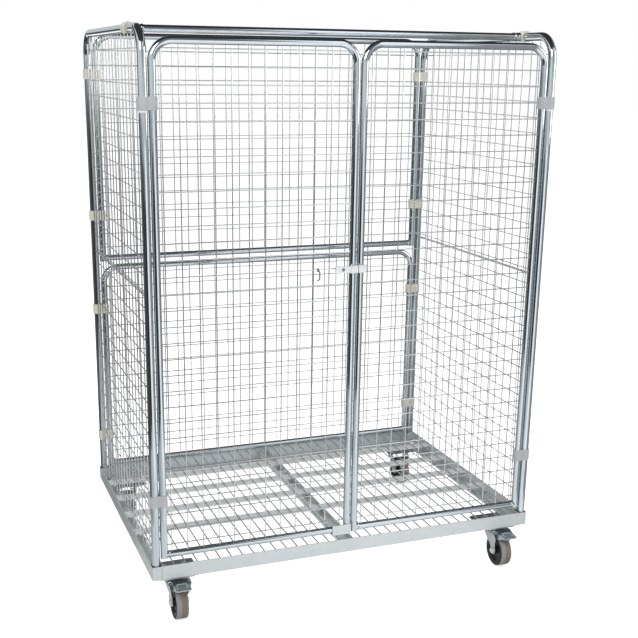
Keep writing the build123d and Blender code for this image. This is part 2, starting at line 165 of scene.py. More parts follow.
class EffectLibrary:
    """Builds each shared node group once and hands it out."""

    crystals_per_cloud = 9.0
    dust_tilt = (0.35, 1.0)
    worn_edge = (0.52, 0.62)

    def __init__(self) -> None:
        """Start with no groups."""
        self._groups: dict[Effect, Nodes] = {}

    def get(self, effect: Effect) -> Nodes:
        """Return the node group of an effect.

        Args:
            effect: Which shared effect is wanted.

        Returns:
            The group, built on its first use.
        """
        if effect not in self._groups:
            makers = {Effect.MOTTLE: self._mottle, Effect.GRAIN: self._grain,
                      Effect.DUST: self._dust, Effect.WEAR: self._wear}
            tree = bpy.data.node_groups.new(effect.value, "ShaderNodeTree")
            makers[effect](tree)
            self._groups[effect] = tree
        return self._groups[effect]

    @staticmethod
    def _sockets(tree: Nodes, output: str, **inputs: float) -> tuple[bpy.types.NodeOutputs, Socket]:
        """Give a group its number inputs and its one output.

        Args:
            tree: The group's nodes.
            output: Name of the output.
            **inputs: Default of each input by its name.

        Returns:
            Sockets that bring the inputs, by name, and the socket of the output.
        """
        for name, value in inputs.items():
            socket = tree.interface.new_socket(name, in_out="INPUT", socket_type="NodeSocketFloat")
            socket.default_value = value
        tree.interface.new_socket(output, in_out="OUTPUT", socket_type="NodeSocketFloat")
        inside = tree.nodes.new("NodeGroupInput")
        outside = tree.nodes.new("NodeGroupOutput")
        return inside.outputs, outside.inputs[output]

    @staticmethod
    def _texture(tree: Nodes, kind: str, scale: Socket, **values: float) -> bpy.types.Node:
        """Place a texture that follows the object.

        Args:
            tree: The group's nodes.
            kind: Type of the texture node.
            scale: Socket of its scale.
            **values: Values of its other inputs.

        Returns:
            The texture node.
        """
        place = tree.nodes.new("ShaderNodeTexCoord")
        texture = tree.nodes.new(kind)
        tree.links.new(place.outputs["Object"], texture.inputs["Vector"])
        tree.links.new(scale, texture.inputs["Scale"])
        for name, value in values.items():
            texture.inputs[name].default_value = value
        return texture

    def _mottle(self, tree: Nodes) -> None:
        """Fill a group with cloudy patches and faint crystals, as on zinc plating and weathered plastic.

        Args:
            tree: The group's nodes.
        """
        given, mask = self._sockets(tree, "Mask", Scale=12.0, Crystal=0.3)
        cloud = self._texture(tree, "ShaderNodeTexNoise", given["Scale"], Detail=4.0, Roughness=0.62)
        finer = joined(tree, "MULTIPLY", given["Scale"], self.crystals_per_cloud)
        cells = self._texture(tree, "ShaderNodeTexVoronoi", finer)
        grey = tree.nodes.new("ShaderNodeRGBToBW")
        mix = tree.nodes.new("ShaderNodeMix")
        tree.links.new(cells.outputs["Color"], grey.inputs[0])
        tree.links.new(given["Crystal"], mix.inputs["Factor"])
        tree.links.new(cloud.outputs["Fac"], mix.inputs["A"])
        tree.links.new(grey.outputs[0], mix.inputs["B"])
        tree.links.new(mix.outputs["Result"], mask)

    def _grain(self, tree: Nodes) -> None:
        """Fill a group with fine even grain for roughness and bump.

        Args:
            tree: The group's nodes.
        """
        given, height = self._sockets(tree, "Height", Scale=400.0)
        speck = self._texture(tree, "ShaderNodeTexNoise", given["Scale"], Detail=3.0)
        tree.links.new(speck.outputs["Fac"], height)

    def _dust(self, tree: Nodes) -> None:
        """Fill a group with patchy dust on faces that look up.

        Args:
            tree: The group's nodes.
        """
        given, mask = self._sockets(tree, "Mask", Scale=25.0, Amount=0.4)
        facing = tree.nodes.new("ShaderNodeNewGeometry")
        up = tree.nodes.new("ShaderNodeSeparateXYZ")
        tree.links.new(facing.outputs["Normal"], up.inputs[0])
        patch = self._texture(tree, "ShaderNodeTexNoise", given["Scale"], Detail=5.0)
        spread = joined(tree, "MULTIPLY", ramped(tree, up.outputs["Z"], self.dust_tilt), patch.outputs["Fac"])
        tree.links.new(joined(tree, "MULTIPLY", spread, given["Amount"]), mask)

    def _wear(self, tree: Nodes) -> None:
        """Fill a group with rubbed edges, broken up by noise.

        Args:
            tree: The group's nodes.
        """
        given, mask = self._sockets(tree, "Mask", Scale=60.0, Amount=0.5)
        edges = tree.nodes.new("ShaderNodeNewGeometry")
        rubbed = ramped(tree, edges.outputs["Pointiness"], self.worn_edge)
        broken = self._texture(tree, "ShaderNodeTexNoise", given["Scale"])
        spread = joined(tree, "MULTIPLY", rubbed, broken.outputs["Fac"])
        tree.links.new(joined(tree, "MULTIPLY", spread, given["Amount"]), mask)


EFFECTS = EffectLibrary()


# Finishes

# Range that the height of the grain mostly keeps to
GRAIN_RANGE = (0.3, 0.7)


@dataclass(frozen=True)
class Finish:
    """One surface finish, built as a procedural material on its first use.

    Attributes:
        name: Name of the material.
        light: Colour of the light patches.
        dark: Colour of the dark patches.
        metallic: Metal share of the surface.
        smoothest: Lowest roughness.
        roughest: Highest roughness.
        mottle_scale: Patches per metre, about.
        crystal: Share of crystals in the patches.
        grain_scale: Grains per metre, about.
        bump: Height of the grain in millimetres.
        dust: Strength of dust on upward faces.
        dust_colour: Colour of the dust.
        wear: Strength of rubbed edges.
        wear_colour: Colour of rubbed edges.
        specular: Specular level of the bare surface.
    """

    name: str
    light: Colour
    dark: Colour
    metallic: float = 1.0
    smoothest: float = 0.2
    roughest: float = 0.35
    mottle_scale: float = 12.0
    crystal: float = 0.3
    grain_scale: float = 400.0
    bump: float = 0.05
    dust: float = 0.0
    dust_colour: Colour = (0.5, 0.48, 0.44)
    wear: float = 0.0
    wear_colour: Colour = (0.8, 0.8, 0.8)
    specular: float = 0.5

    def material(self) -> bpy.types.Material:
        """Return this finish's material, made once."""
        made = bpy.data.materials.get(self.name)
        return made if made else self._build()

    def _build(self) -> bpy.types.Material:
        """Build the node tree.

        Returns:
            The new material.
        """
        material = bpy.data.materials.new(self.name)
        material.use_nodes = True
        tree = material.node_tree
        shader = tree.nodes["Principled BSDF"]
        shader.inputs["Metallic"].default_value = self.metallic
        shader.inputs["Specular IOR Level"].default_value = self.specular
        mottle = self._group(tree, Effect.MOTTLE, Scale=self.mottle_scale, Crystal=self.crystal)
        grain = self._group(tree, Effect.GRAIN, Scale=self.grain_scale)
        colour = self._blend(tree, mottle.outputs["Mask"], self.dark, self.light)
        if self.dust > 0:
            settled = self._group(tree, Effect.DUST, Amount=self.dust)
            colour = self._blend(tree, settled.outputs["Mask"], colour, self.dust_colour)
        if self.wear > 0:
            rubbed = self._group(tree, Effect.WEAR, Amount=self.wear)
            colour = self._blend(tree, rubbed.outputs["Mask"], colour, self.wear_colour)
        tree.links.new(colour, shader.inputs["Base Color"])
        polish = ramped(tree, grain.outputs["Height"], GRAIN_RANGE, (self.smoothest, self.roughest))
        tree.links.new(polish, shader.inputs["Roughness"])
        bump = tree.nodes.new("ShaderNodeBump")
        bump.inputs["Distance"].default_value = self.bump * MM
        tree.links.new(grain.outputs["Height"], bump.inputs["Height"])
        tree.links.new(bump.outputs["Normal"], shader.inputs["Normal"])
        return material

    @staticmethod
    def _group(tree: Nodes, effect: Effect, **values: float) -> bpy.types.Node:
        """Place a shared effect in a material.

        Args:
            tree: The material's nodes.
            effect: The shared effect.
            **values: Values of the group's inputs.

        Returns:
            The group node.
        """
        node = tree.nodes.new("ShaderNodeGroup")
        node.node_tree = EFFECTS.get(effect)
        for name, value in values.items():
            node.inputs[name].default_value = value
        return node

    @staticmethod
    def _blend(tree: Nodes, mask: Socket, low: Socket | Colour, high: Colour) -> Socket:
        """Mix two colours by a mask.

        Args:
            tree: The material's nodes.
            mask: Socket of the mask.
            low: Colour, or socket of a colour, where the mask is 0.
            high: Colour where the mask is 1.

        Returns:
            Socket of the mixed colour.
        """
        mix = tree.nodes.new("ShaderNodeMix")
        mix.data_type = "RGBA"
        factor, first, second = mix.inputs[0], mix.inputs[6], mix.inputs[7]
        tree.links.new(mask, factor)
        if isinstance(low, tuple):
            first.default_value = (*low, 1.0)
        else:
            tree.links.new(low, first)
        second.default_value = (*high, 1.0)
        return mix.outputs[2]


ZINC_TUBE = Finish("bright_zinc_tube", (0.66, 0.70, 0.725), (0.50, 0.545, 0.58), 1.0, 0.05, 0.11,
                   mottle_scale=9.0, crystal=0.15, grain_scale=500.0, bump=0.02)
ZINC_WIRE = Finish("drawn_wire_finish", (0.80, 0.815, 0.81), (0.55, 0.565, 0.56), 0.9, 0.12, 0.26,
                   mottle_scale=30.0, crystal=0.2, grain_scale=900.0, bump=0.02)
ZINC_RAIL = Finish("pale_zinc_rail", (0.68, 0.71, 0.72), (0.57, 0.60, 0.615), 0.5, 0.38, 0.55,
                   mottle_scale=7.0, crystal=0.35, grain_scale=260.0, bump=0.06, dust=0.10, wear=0.35)
ZINC_BAR = Finish("zinc_deck_bar", (0.82, 0.85, 0.845), (0.66, 0.69, 0.685), 0.25, 0.42, 0.6,
                  mottle_scale=10.0, crystal=0.4, grain_scale=240.0, bump=0.08, dust=0.25, wear=0.3)
ZINC_BEAM = replace(ZINC_BAR, name="zinc_centre_beam", light=(0.74, 0.79, 0.775), dark=(0.57, 0.62, 0.605),
                    smoothest=0.4, mottle_scale=9.0, dust=0.2)
# Dark steel: painted shade on the gusset plates and in the latch's padlock hole; the mesh hook is drawn in it
# as well.
DARK_STEEL_AND_SHADE = Finish("dark_steel_and_painted_shade", (0.20, 0.25, 0.27), (0.11, 0.15, 0.17), 0.8, 0.3, 0.5,
                     mottle_scale=14.0, grain_scale=300.0, dust=0.15, wear=0.4)
# Pale zinc of the latch; on the axle bolts it is a painted glint.
PALE_ZINC_AND_GLINT = Finish("pale_zinc_and_painted_glint", (0.84, 0.85, 0.86), (0.72, 0.74, 0.75), 0.5, 0.3, 0.45,
                    mottle_scale=20.0, crystal=0.2, grain_scale=500.0, bump=0.03, wear=0.3)
STOP_ZINC = replace(PALE_ZINC_AND_GLINT, name="stop_plate_zinc", light=(0.74, 0.77, 0.765), dark=(0.60, 0.63, 0.63),
                    mottle_scale=24.0, crystal=0.3)
CASTOR_ZINC = Finish("castor_zinc", (0.62, 0.65, 0.65), (0.46, 0.49, 0.50), 0.8, 0.22, 0.4,
                     mottle_scale=22.0, grain_scale=500.0, bump=0.03, wear=0.3)
PEDAL_ZINC = replace(CASTOR_ZINC, name="pedal_zinc", light=(0.24, 0.31, 0.33), dark=(0.10, 0.14, 0.16),
                     metallic=0.9, smoothest=0.2, roughest=0.36, wear=0.8, wear_colour=(0.78, 0.82, 0.84))
BEIGE_PLASTIC = Finish("beige_clip_finish", (0.78, 0.76, 0.66), (0.64, 0.62, 0.52), 0.0, 0.42, 0.58,
                       mottle_scale=18.0, crystal=0.1, grain_scale=700.0, bump=0.04, dust=0.15, wear=0.2,
                       wear_colour=(0.80, 0.76, 0.68))
GREY_PLASTIC = replace(BEIGE_PLASTIC, name="grey_clip_finish", light=(0.55, 0.56, 0.585),
                       dark=(0.39, 0.40, 0.42), bump=0.05, dust=0.1, wear_colour=(0.58, 0.58, 0.61))
WHITE_PLASTIC = replace(BEIGE_PLASTIC, name="white_collar_finish", light=(0.86, 0.87, 0.89),
                        dark=(0.76, 0.77, 0.80), smoothest=0.38, roughest=0.5, dust=0.1, wear=0.0)
# Black plastic of the hubs; the same finish in the corner post mouths is painted shade.
BLACK_PLASTIC_AND_SHADE = Finish("black_plastic_and_painted_shade", (0.014, 0.014, 0.015), (0.005, 0.005, 0.006), 0.0, 0.3, 0.5,
                     mottle_scale=25.0, crystal=0.1, grain_scale=600.0, bump=0.06, dust=0.02, wear=0.3,
                     wear_colour=(0.16, 0.15, 0.14), specular=0.35)
TYRE_BROWN = Finish("brown_tyre_rubber", (0.285, 0.235, 0.20), (0.19, 0.155, 0.132), 0.0, 0.62, 0.85,
                    mottle_scale=20.0, crystal=0.1, grain_scale=500.0, bump=0.12, dust=0.15, wear=0.25,
                    wear_colour=(0.40, 0.35, 0.31), specular=0.3)
TYRE_GREY = replace(TYRE_BROWN, name="grey_tyre_rubber", light=(0.36, 0.355, 0.36), dark=(0.25, 0.246, 0.25),
                    wear_colour=(0.45, 0.44, 0.44))
# Side wall of the tyre: the tread's rubber darkened almost to black as painted shade.
TYRE_WALL_SHADE = replace(TYRE_BROWN, name="tyre_wall_painted_shade", light=(0.046, 0.041, 0.038),
                    dark=(0.019, 0.017, 0.016), smoothest=0.6, roughest=0.82, bump=0.1, dust=0.1, wear=0.2,
                    wear_colour=(0.2, 0.18, 0.17))


# Mesh tools

def at(x: float, y: float, z: float) -> Vector:
    """Point in metres from millimetres measured at the middle of the base."""
    return Vector((x, y + BASE_MIDDLE_Y, z)) * MM


def placed(origin: Vector, first: Vector, second: Vector) -> Matrix:
    """Placement whose first two axes point along the given directions.

    Args:
        origin: Where the axes meet, in metres.
        first: Direction of the first axis.
        second: Direction of the second axis.

    Returns:
        The matrix, with the third axis square to both.
    """
    third = first.cross(second)
    rows = Matrix((first, second, third)).transposed().to_4x4()
    rows.translation = origin
    return rows


def arc(centre: Point2, radius: float, start: float, end: float, steps: int) -> list[Point2]:
    """Points on an arc.

    Args:
        centre: Middle of the arc.
        radius: Its radius.
        start: First angle in degrees.
        end: Last angle in degrees.
        steps: Number of pieces.

    Returns:
        Points from start to end, both included.
    """
    angles = [math.radians(start + (end - start) * i / steps) for i in range(steps + 1)]
    return [(centre[0] + radius * math.cos(a), centre[1] + radius * math.sin(a)) for a in angles]


def hexagon(radius: float) -> list[Point2]:
    """Outline of a nut or a bolt head about the origin."""
    return arc((0.0, 0.0), radius, 0, 300, 5)


def mirrored(profile: Sequence[Point2]) -> list[Point2]:
    """Profile of the other half of a turned piece, which goes on where the first half ends."""
    return [(radius, -along) for radius, along in reversed(profile)]


def rounded_box_outline(width: float, height: float, radius: float, steps: int = 4) -> list[Point2]:
    """Outline of a rectangle with round corners about the origin.

    Args:
        width: Size along the first axis.
        height: Size along the second axis.
        radius: Corner radius.
        steps: Pieces in each corner.

    Returns:
        Points counter-clockwise.
    """
    a = width / 2 - radius
    b = height / 2 - radius
    corners = ((a, b, 0), (-a, b, 90), (-a, -b, 180), (a, -b, 270))
    return [p for x, y, turn in corners for p in arc((x, y), radius, turn, turn + 90, steps)]


def bent_path(corners: Sequence[Vector], radius: float, steps: int = 14) -> list[Vector]:
    """Route of a bent tube with round bends.

    Args:
        corners: Ends and corner points of the tube's axis.
        radius: Bend radius at the axis.
        steps: Pieces in each bend.

    Returns:
        Points along the axis.
    """
    path = [corners[0]]
    for before, corner, after in zip(corners, corners[1:], corners[2:]):
        back = (before - corner).normalized()
        on = (after - corner).normalized()
        half = back.angle(on) / 2
        middle = corner + (back + on).normalized() * (radius / math.sin(half))
        first = corner + back * (radius / math.tan(half)) - middle
        last = corner + on * (radius / math.tan(half)) - middle
        turn = first.angle(last)
        axis = first.cross(last).normalized()
        path += [middle + Matrix.Rotation(turn * i / steps, 3, axis) @ first for i in range(steps + 1)]
    return path + [corners[-1]]


def linked(name: str, data: bpy.types.ID) -> bpy.types.Object:
    """Put a new object into the scene.

    Args:
        name: Name of the object.
        data: Its mesh, light or camera.

    Returns:
        The object.
    """
    item = bpy.data.objects.new(name, data)
    bpy.context.scene.collection.objects.link(item)
    return item


class Shape:
    """A mesh under construction, in metres."""

    def __init__(self) -> None:
        """Start with an empty mesh."""
        self.mesh = bmesh.new()

    def tube(self, path: Sequence[Vector], radius: float, sides: int) -> None:
        """Sweep a round section along a path, with closed ends.

        Args:
            path: Points of the axis.
            radius: Radius in metres.
            sides: Faces round the section.
        """
        rings = []
        side = (path[1] - path[0]).normalized().orthogonal().normalized()
        turns = [2 * math.pi * k / sides for k in range(sides)]
        for i, point in enumerate(path):
            ahead = (path[min(i + 1, len(path) - 1)] - path[max(i - 1, 0)]).normalized()
            side = (side - ahead * side.dot(ahead)).normalized()
            up = ahead.cross(side)
            rings.append([self.mesh.verts.new(point + (side * math.cos(t) + up * math.sin(t)) * radius)
                          for t in turns])
        self._solid(rings)

    def prism(self, outline: Sequence[Point2], place: Matrix, depth: float) -> None:
        """Extrude an outline along the third axis of a placement.

        Args:
            outline: Points in millimetres.
            place: Placement of the outline's axes, in metres.
            depth: Length in millimetres.
        """
        self._solid(self._stacked([(outline, 0.0), (outline, depth)], place))

    def ring_prism(self, outer: Sequence[Point2], inner: Sequence[Point2], place: Matrix,
                   depth: float) -> None:
        """Extrude the wall between two outlines with equal numbers of points.

        Args:
            outer: Outside outline in millimetres.
            inner: Inside outline in millimetres.
            place: Placement of the outlines' axes, in metres.
            depth: Length in millimetres.
        """
        rings = self._stacked([(outer, 0.0), (outer, depth), (inner, depth), (inner, 0.0)], place)
        self._skin(rings + rings[:1])

    def lathe(self, profile: Sequence[Point2], place: Matrix, segments: int) -> None:
        """Turn a profile about the third axis of a placement into a solid with closed ends.

        Args:
            profile: Radius and distance along the axis, in millimetres.
            place: Placement of the axis, in metres.
            segments: Faces round the axis.
        """
        self._solid(self._turned(profile, place, segments))

    def ring(self, profile: Sequence[Point2], place: Matrix, segments: int) -> None:
        """Turn a closed profile about the third axis of a placement into an open ring.

        Args:
            profile: Radius and distance along the axis, in millimetres.
            place: Placement of the axis, in metres.
            segments: Faces round the axis.
        """
        rings = self._turned(profile, place, segments)
        self._skin(rings + rings[:1])

    def loft(self, outlines: Sequence[Sequence[Vector]]) -> None:
        """Join outlines with equal numbers of points, in metres, into a closed solid."""
        self._solid([[self.mesh.verts.new(point) for point in outline] for outline in outlines])

    def _stacked(self, outlines: Sequence[tuple[Sequence[Point2], float]], place: Matrix) -> Rings:
        """Make rings of points from outlines at their places along the third axis, in millimetres."""
        return [[self.mesh.verts.new(place @ Vector((u * MM, v * MM, w * MM))) for u, v in outline]
                for outline, w in outlines]

    def _turned(self, profile: Sequence[Point2], place: Matrix, segments: int) -> Rings:
        """Make rings of points where a profile turns about the third axis of a placement."""
        turns = [2 * math.pi * k / segments for k in range(segments)]
        return [[self.mesh.verts.new(place @ Vector((r * math.cos(t) * MM, r * math.sin(t) * MM, w * MM)))
                 for t in turns] for r, w in profile]

    def _skin(self, rings: Rings) -> None:
        """Join neighbouring rings of points with faces.

        Args:
            rings: Rings with equal numbers of points.
        """
        count = len(rings[0])
        for low, high in zip(rings, rings[1:]):
            for k in range(count):
                n = (k + 1) % count
                self.mesh.faces.new((low[k], low[n], high[n], high[k]))

    def _solid(self, rings: Rings) -> None:
        """Join rings of points with faces and close both ends.

        Args:
            rings: Rings with equal numbers of points, from end to end.
        """
        self._skin(rings)
        self.mesh.faces.new(list(reversed(rings[0])))
        self.mesh.faces.new(rings[-1])

    def piece(self, name: str, finish: Finish, body: str, slot: Slot, nodes: Sequence[str] = (),
              bevel: float = 0.0) -> None:
        """Turn the mesh into a dressed piece that rides on a body.

        Args:
            name: Name of the piece.
            finish: Finish of its surface.
            body: Body of the frame that carries it.
            slot: Material slot of the record; not used.
            nodes: Nodes of the frame that it stands for.
            bevel: Width of rounded edges in millimetres, 0 for none.
        """
        bmesh.ops.recalc_face_normals(self.mesh, faces=self.mesh.faces)
        data = bpy.data.meshes.new(name)
        self.mesh.to_mesh(data)
        self.mesh.free()
        data.shade_smooth()
        data.set_sharp_from_angle(angle=SHARP_ANGLE)
        data.materials.append(finish.material())
        piece = linked(name, data)
        if bevel > 0:
            edge = piece.modifiers.new("rounded_edges", "BEVEL")
            edge.width = bevel * MM
            edge.segments = 2
            edge.limit_method = "ANGLE"
            edge.angle_limit = SHARP_ANGLE
            edge.harden_normals = True
        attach(piece, body)
        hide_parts(*nodes)
        log.info("built %s on %s", name, body)


# Sizes that several assemblies share

# Legs of the sides, which stand in the base and carry the back panels and the doors
LEG_X = 635.0
LEG_Y = 435.0
LEG_TUBE = 25.0

# Tube of the back panels and the doors
PANEL_TUBE = 22.0
PANEL_BEND = 55.0
PANEL_RAIL = 21.0
PANEL_WIRE_SUNK = 1.0

# Levels of the hinge clips, which the mesh rows there stop short of
HINGE_LEVELS = (398.0, 1550.0)


# Base

@dataclass
class BaseFrame:
    """Angle rails, corner sockets, castor gussets, centre beam, crossbars and wires of the base."""

    half_width: float = 650.0
    half_depth: float = 450.0
    bottom: float = 145.0
    rail: float = 45.0
    thickness: float = 4.0
    toe: float = 1.6
    root: float = 4.5
    socket: float = 30.0
    socket_wall: float = 2.0
    socket_round: float = 2.6
    bore_round: float = 1.0
    mouth_gap: float = 0.2
    mouth_inset: float = 0.8
    mouth_height: float = 0.7
    mouth_round: float = 2.0
    mouth_straight: float = 0.01
    gusset_size: Point2 = (135.0, 115.0)
    gusset_inset: Point2 = (18.0, 8.0)
    gusset_thickness: float = 5.0
    gusset_round: float = 8.0
    beam_half: float = 20.0
    beam_height: float = 27.4
    beam_wall: float = 3.0
    beam_fold: float = 5.0
    bar_size: Point2 = (40.0, 6.0)
    bar_round: float = 1.5
    bar_level: float = 179.5
    bar_places: tuple[float, ...] = (-158.0, -8.0, 142.0, 292.0)
    wire_radius: float = 2.2
    wire_level: float = 184.8
    wire_count: int = 35
    wire_edge: float = 615.6
    inner_gap: float = 4.1

    def build(self) -> None:
        """Build every piece of the base."""
        self._rails()
        self._sockets()
        self._gussets()
        self._beam()
        self._crossbars()
        self._wires()

    def _angle_outline(self) -> list[Point2]:
        """Section of a rolled angle.

        Returns:
            Flange along the first axis, web along the second, with round toes and root.
        """
        edge = self.thickness - self.toe
        tip = self.rail - self.toe
        inside = self.thickness + self.root
        return ([(0.0, 0.0), (self.rail, 0.0)] + arc((tip, edge), self.toe, 0, 90, 3)
                + arc((inside, inside), self.root, 270, 180, 4)
                + arc((edge, tip), self.toe, 0, 90, 3) + [(0.0, self.rail)])

    def _rails(self) -> None:
        """Front and rear rails between the sockets, and side rails whose flanges stop at theirs."""
        outline = self._angle_outline()
        rails = {}
        front_half = self.half_width - self.socket
        for word, y, inward in (("front", -self.half_depth, Y), ("rear", self.half_depth, -Y)):
            rails[word] = Shape()
            start = at(0, y, self.bottom) - inward.cross(Z) * front_half * MM
            rails[word].prism(outline, placed(start, inward, Z), 2 * front_half)
        web = [(0.0, 0.0), (self.thickness, 0.0), (self.thickness, self.rail), (0.0, self.rail)]
        flange_half = self.half_depth - self.rail
        web_end = self.rail - self.socket
        for side in Side:
            shape = Shape()
            inward = -X * side.value
            along = inward.cross(Z)
            middle = at(side.value * self.half_width, 0, self.bottom)
            shape.prism(outline, placed(middle - along * flange_half * MM, inward, Z), 2 * flange_half)
            for start in (flange_half, -flange_half - web_end):
                shape.prism(web, placed(middle + along * start * MM, inward, Z), web_end)
            rails[side.word] = shape
        for word, shape in rails.items():
            shape.piece(f"{word}_rail", ZINC_RAIL, "frame", Slot.BASE, [f"base_{word}_rail"], bevel=0.7)

    def _sockets(self) -> None:
        """Square tube posts at the corners, and black rings between their walls and the round legs as painted
        shade of the gap.
        """
        posts = Shape()
        mouth_shades = Shape()
        outer = rounded_box_outline(self.socket, self.socket, self.socket_round)
        bore = self.socket - 2 * self.socket_wall
        inner = rounded_box_outline(bore, bore, self.bore_round)
        rim = self.socket - 2 * self.mouth_inset
        mouth = rounded_box_outline(rim, rim, self.mouth_round)
        leg = LEG_TUBE + self.mouth_gap
        leg_hole = rounded_box_outline(leg, leg, leg / 2 - self.mouth_straight)
        reach = self.socket / 2
        for x, y in CORNERS:
            foot = at(x * (self.half_width - reach), y * (self.half_depth - reach), self.bottom)
            posts.ring_prism(outer, inner, placed(foot, X, Y), self.rail)
            mouth_shades.ring_prism(mouth, leg_hole, placed(foot + Z * self.rail * MM, X, Y), self.mouth_height)
        posts.piece("corner_posts", ZINC_RAIL, "frame", Slot.BASE, ["corner_sockets"], bevel=0.4)
        # Black plastic in each post's mouth is painted shade of the deep gap round the leg.
        mouth_shades.piece("corner_post_mouth_shades", BLACK_PLASTIC_AND_SHADE, "frame", Slot.HUB)

    def _gussets(self) -> None:
        """Plates under the corners that the castors bolt to, darkened as painted shade under the deck."""
        shape = Shape()
        length, width = self.gusset_size
        outline = rounded_box_outline(length, width, self.gusset_round)
        middle_x = self.half_width - self.gusset_inset[0] - length / 2
        middle_y = self.half_depth - self.gusset_inset[1] - width / 2
        for x, y in CORNERS:
            foot = at(x * middle_x, y * middle_y, self.bottom - self.gusset_thickness)
            shape.prism(outline, placed(foot, X, Y), self.gusset_thickness)
        shape.piece("gusset_plates", DARK_STEEL_AND_SHADE, "frame", Slot.BASE, ["castor_gussets"], bevel=0.6)

    def _beam(self) -> None:
        """Folded channel from front to rear, open at the top."""
        fold = self.beam_fold
        inside = fold - self.beam_wall
        half = self.beam_half
        trough = half - self.beam_wall
        height = self.beam_height
        outline = ([(-half, height)] + arc((fold - half, fold), fold, 180, 270, 4)
                   + arc((half - fold, fold), fold, 270, 360, 4) + [(half, height), (trough, height)]
                   + arc((trough - inside, fold), inside, 0, -90, 3)
                   + arc((inside - trough, fold), inside, -90, -180, 3) + [(-trough, height)])
        shape = Shape()
        reach = self.half_depth - self.inner_gap
        start = at(0, reach, self.bottom + self.thickness)
        shape.prism(outline, placed(start, X, Z), 2 * reach)
        shape.piece("centre_channel", ZINC_BEAM, "frame", Slot.BASE, ["base_centre_beam"], bevel=0.5)

    def _crossbars(self) -> None:
        """Flat bars from side to side under the deck wires."""
        shape = Shape()
        outline = rounded_box_outline(*self.bar_size, self.bar_round)
        reach = self.half_width - self.inner_gap
        for y in self.bar_places:
            shape.prism(outline, placed(at(-reach, y, self.bar_level), Y, Z), 2 * reach)
        shape.piece("flat_crossbars", ZINC_BAR, "frame", Slot.BASE, ["deck_crossbars"])

    def _wires(self) -> None:
        """Deck wires from front to rear, welded on the crossbars."""
        shape = Shape()
        reach = self.half_depth - self.inner_gap
        step = 2 * self.wire_edge / (self.wire_count - 1)
        for i in range(self.wire_count):
            ends = [at(step * i - self.wire_edge, y, self.wire_level) for y in (-reach, reach)]
            shape.tube(ends, self.wire_radius * MM, DECK_WIRE_SIDES)
        shape.piece("round_deck_wires", ZINC_WIRE, "frame", Slot.WIRE, ["deck_wires"])


# Mesh panels

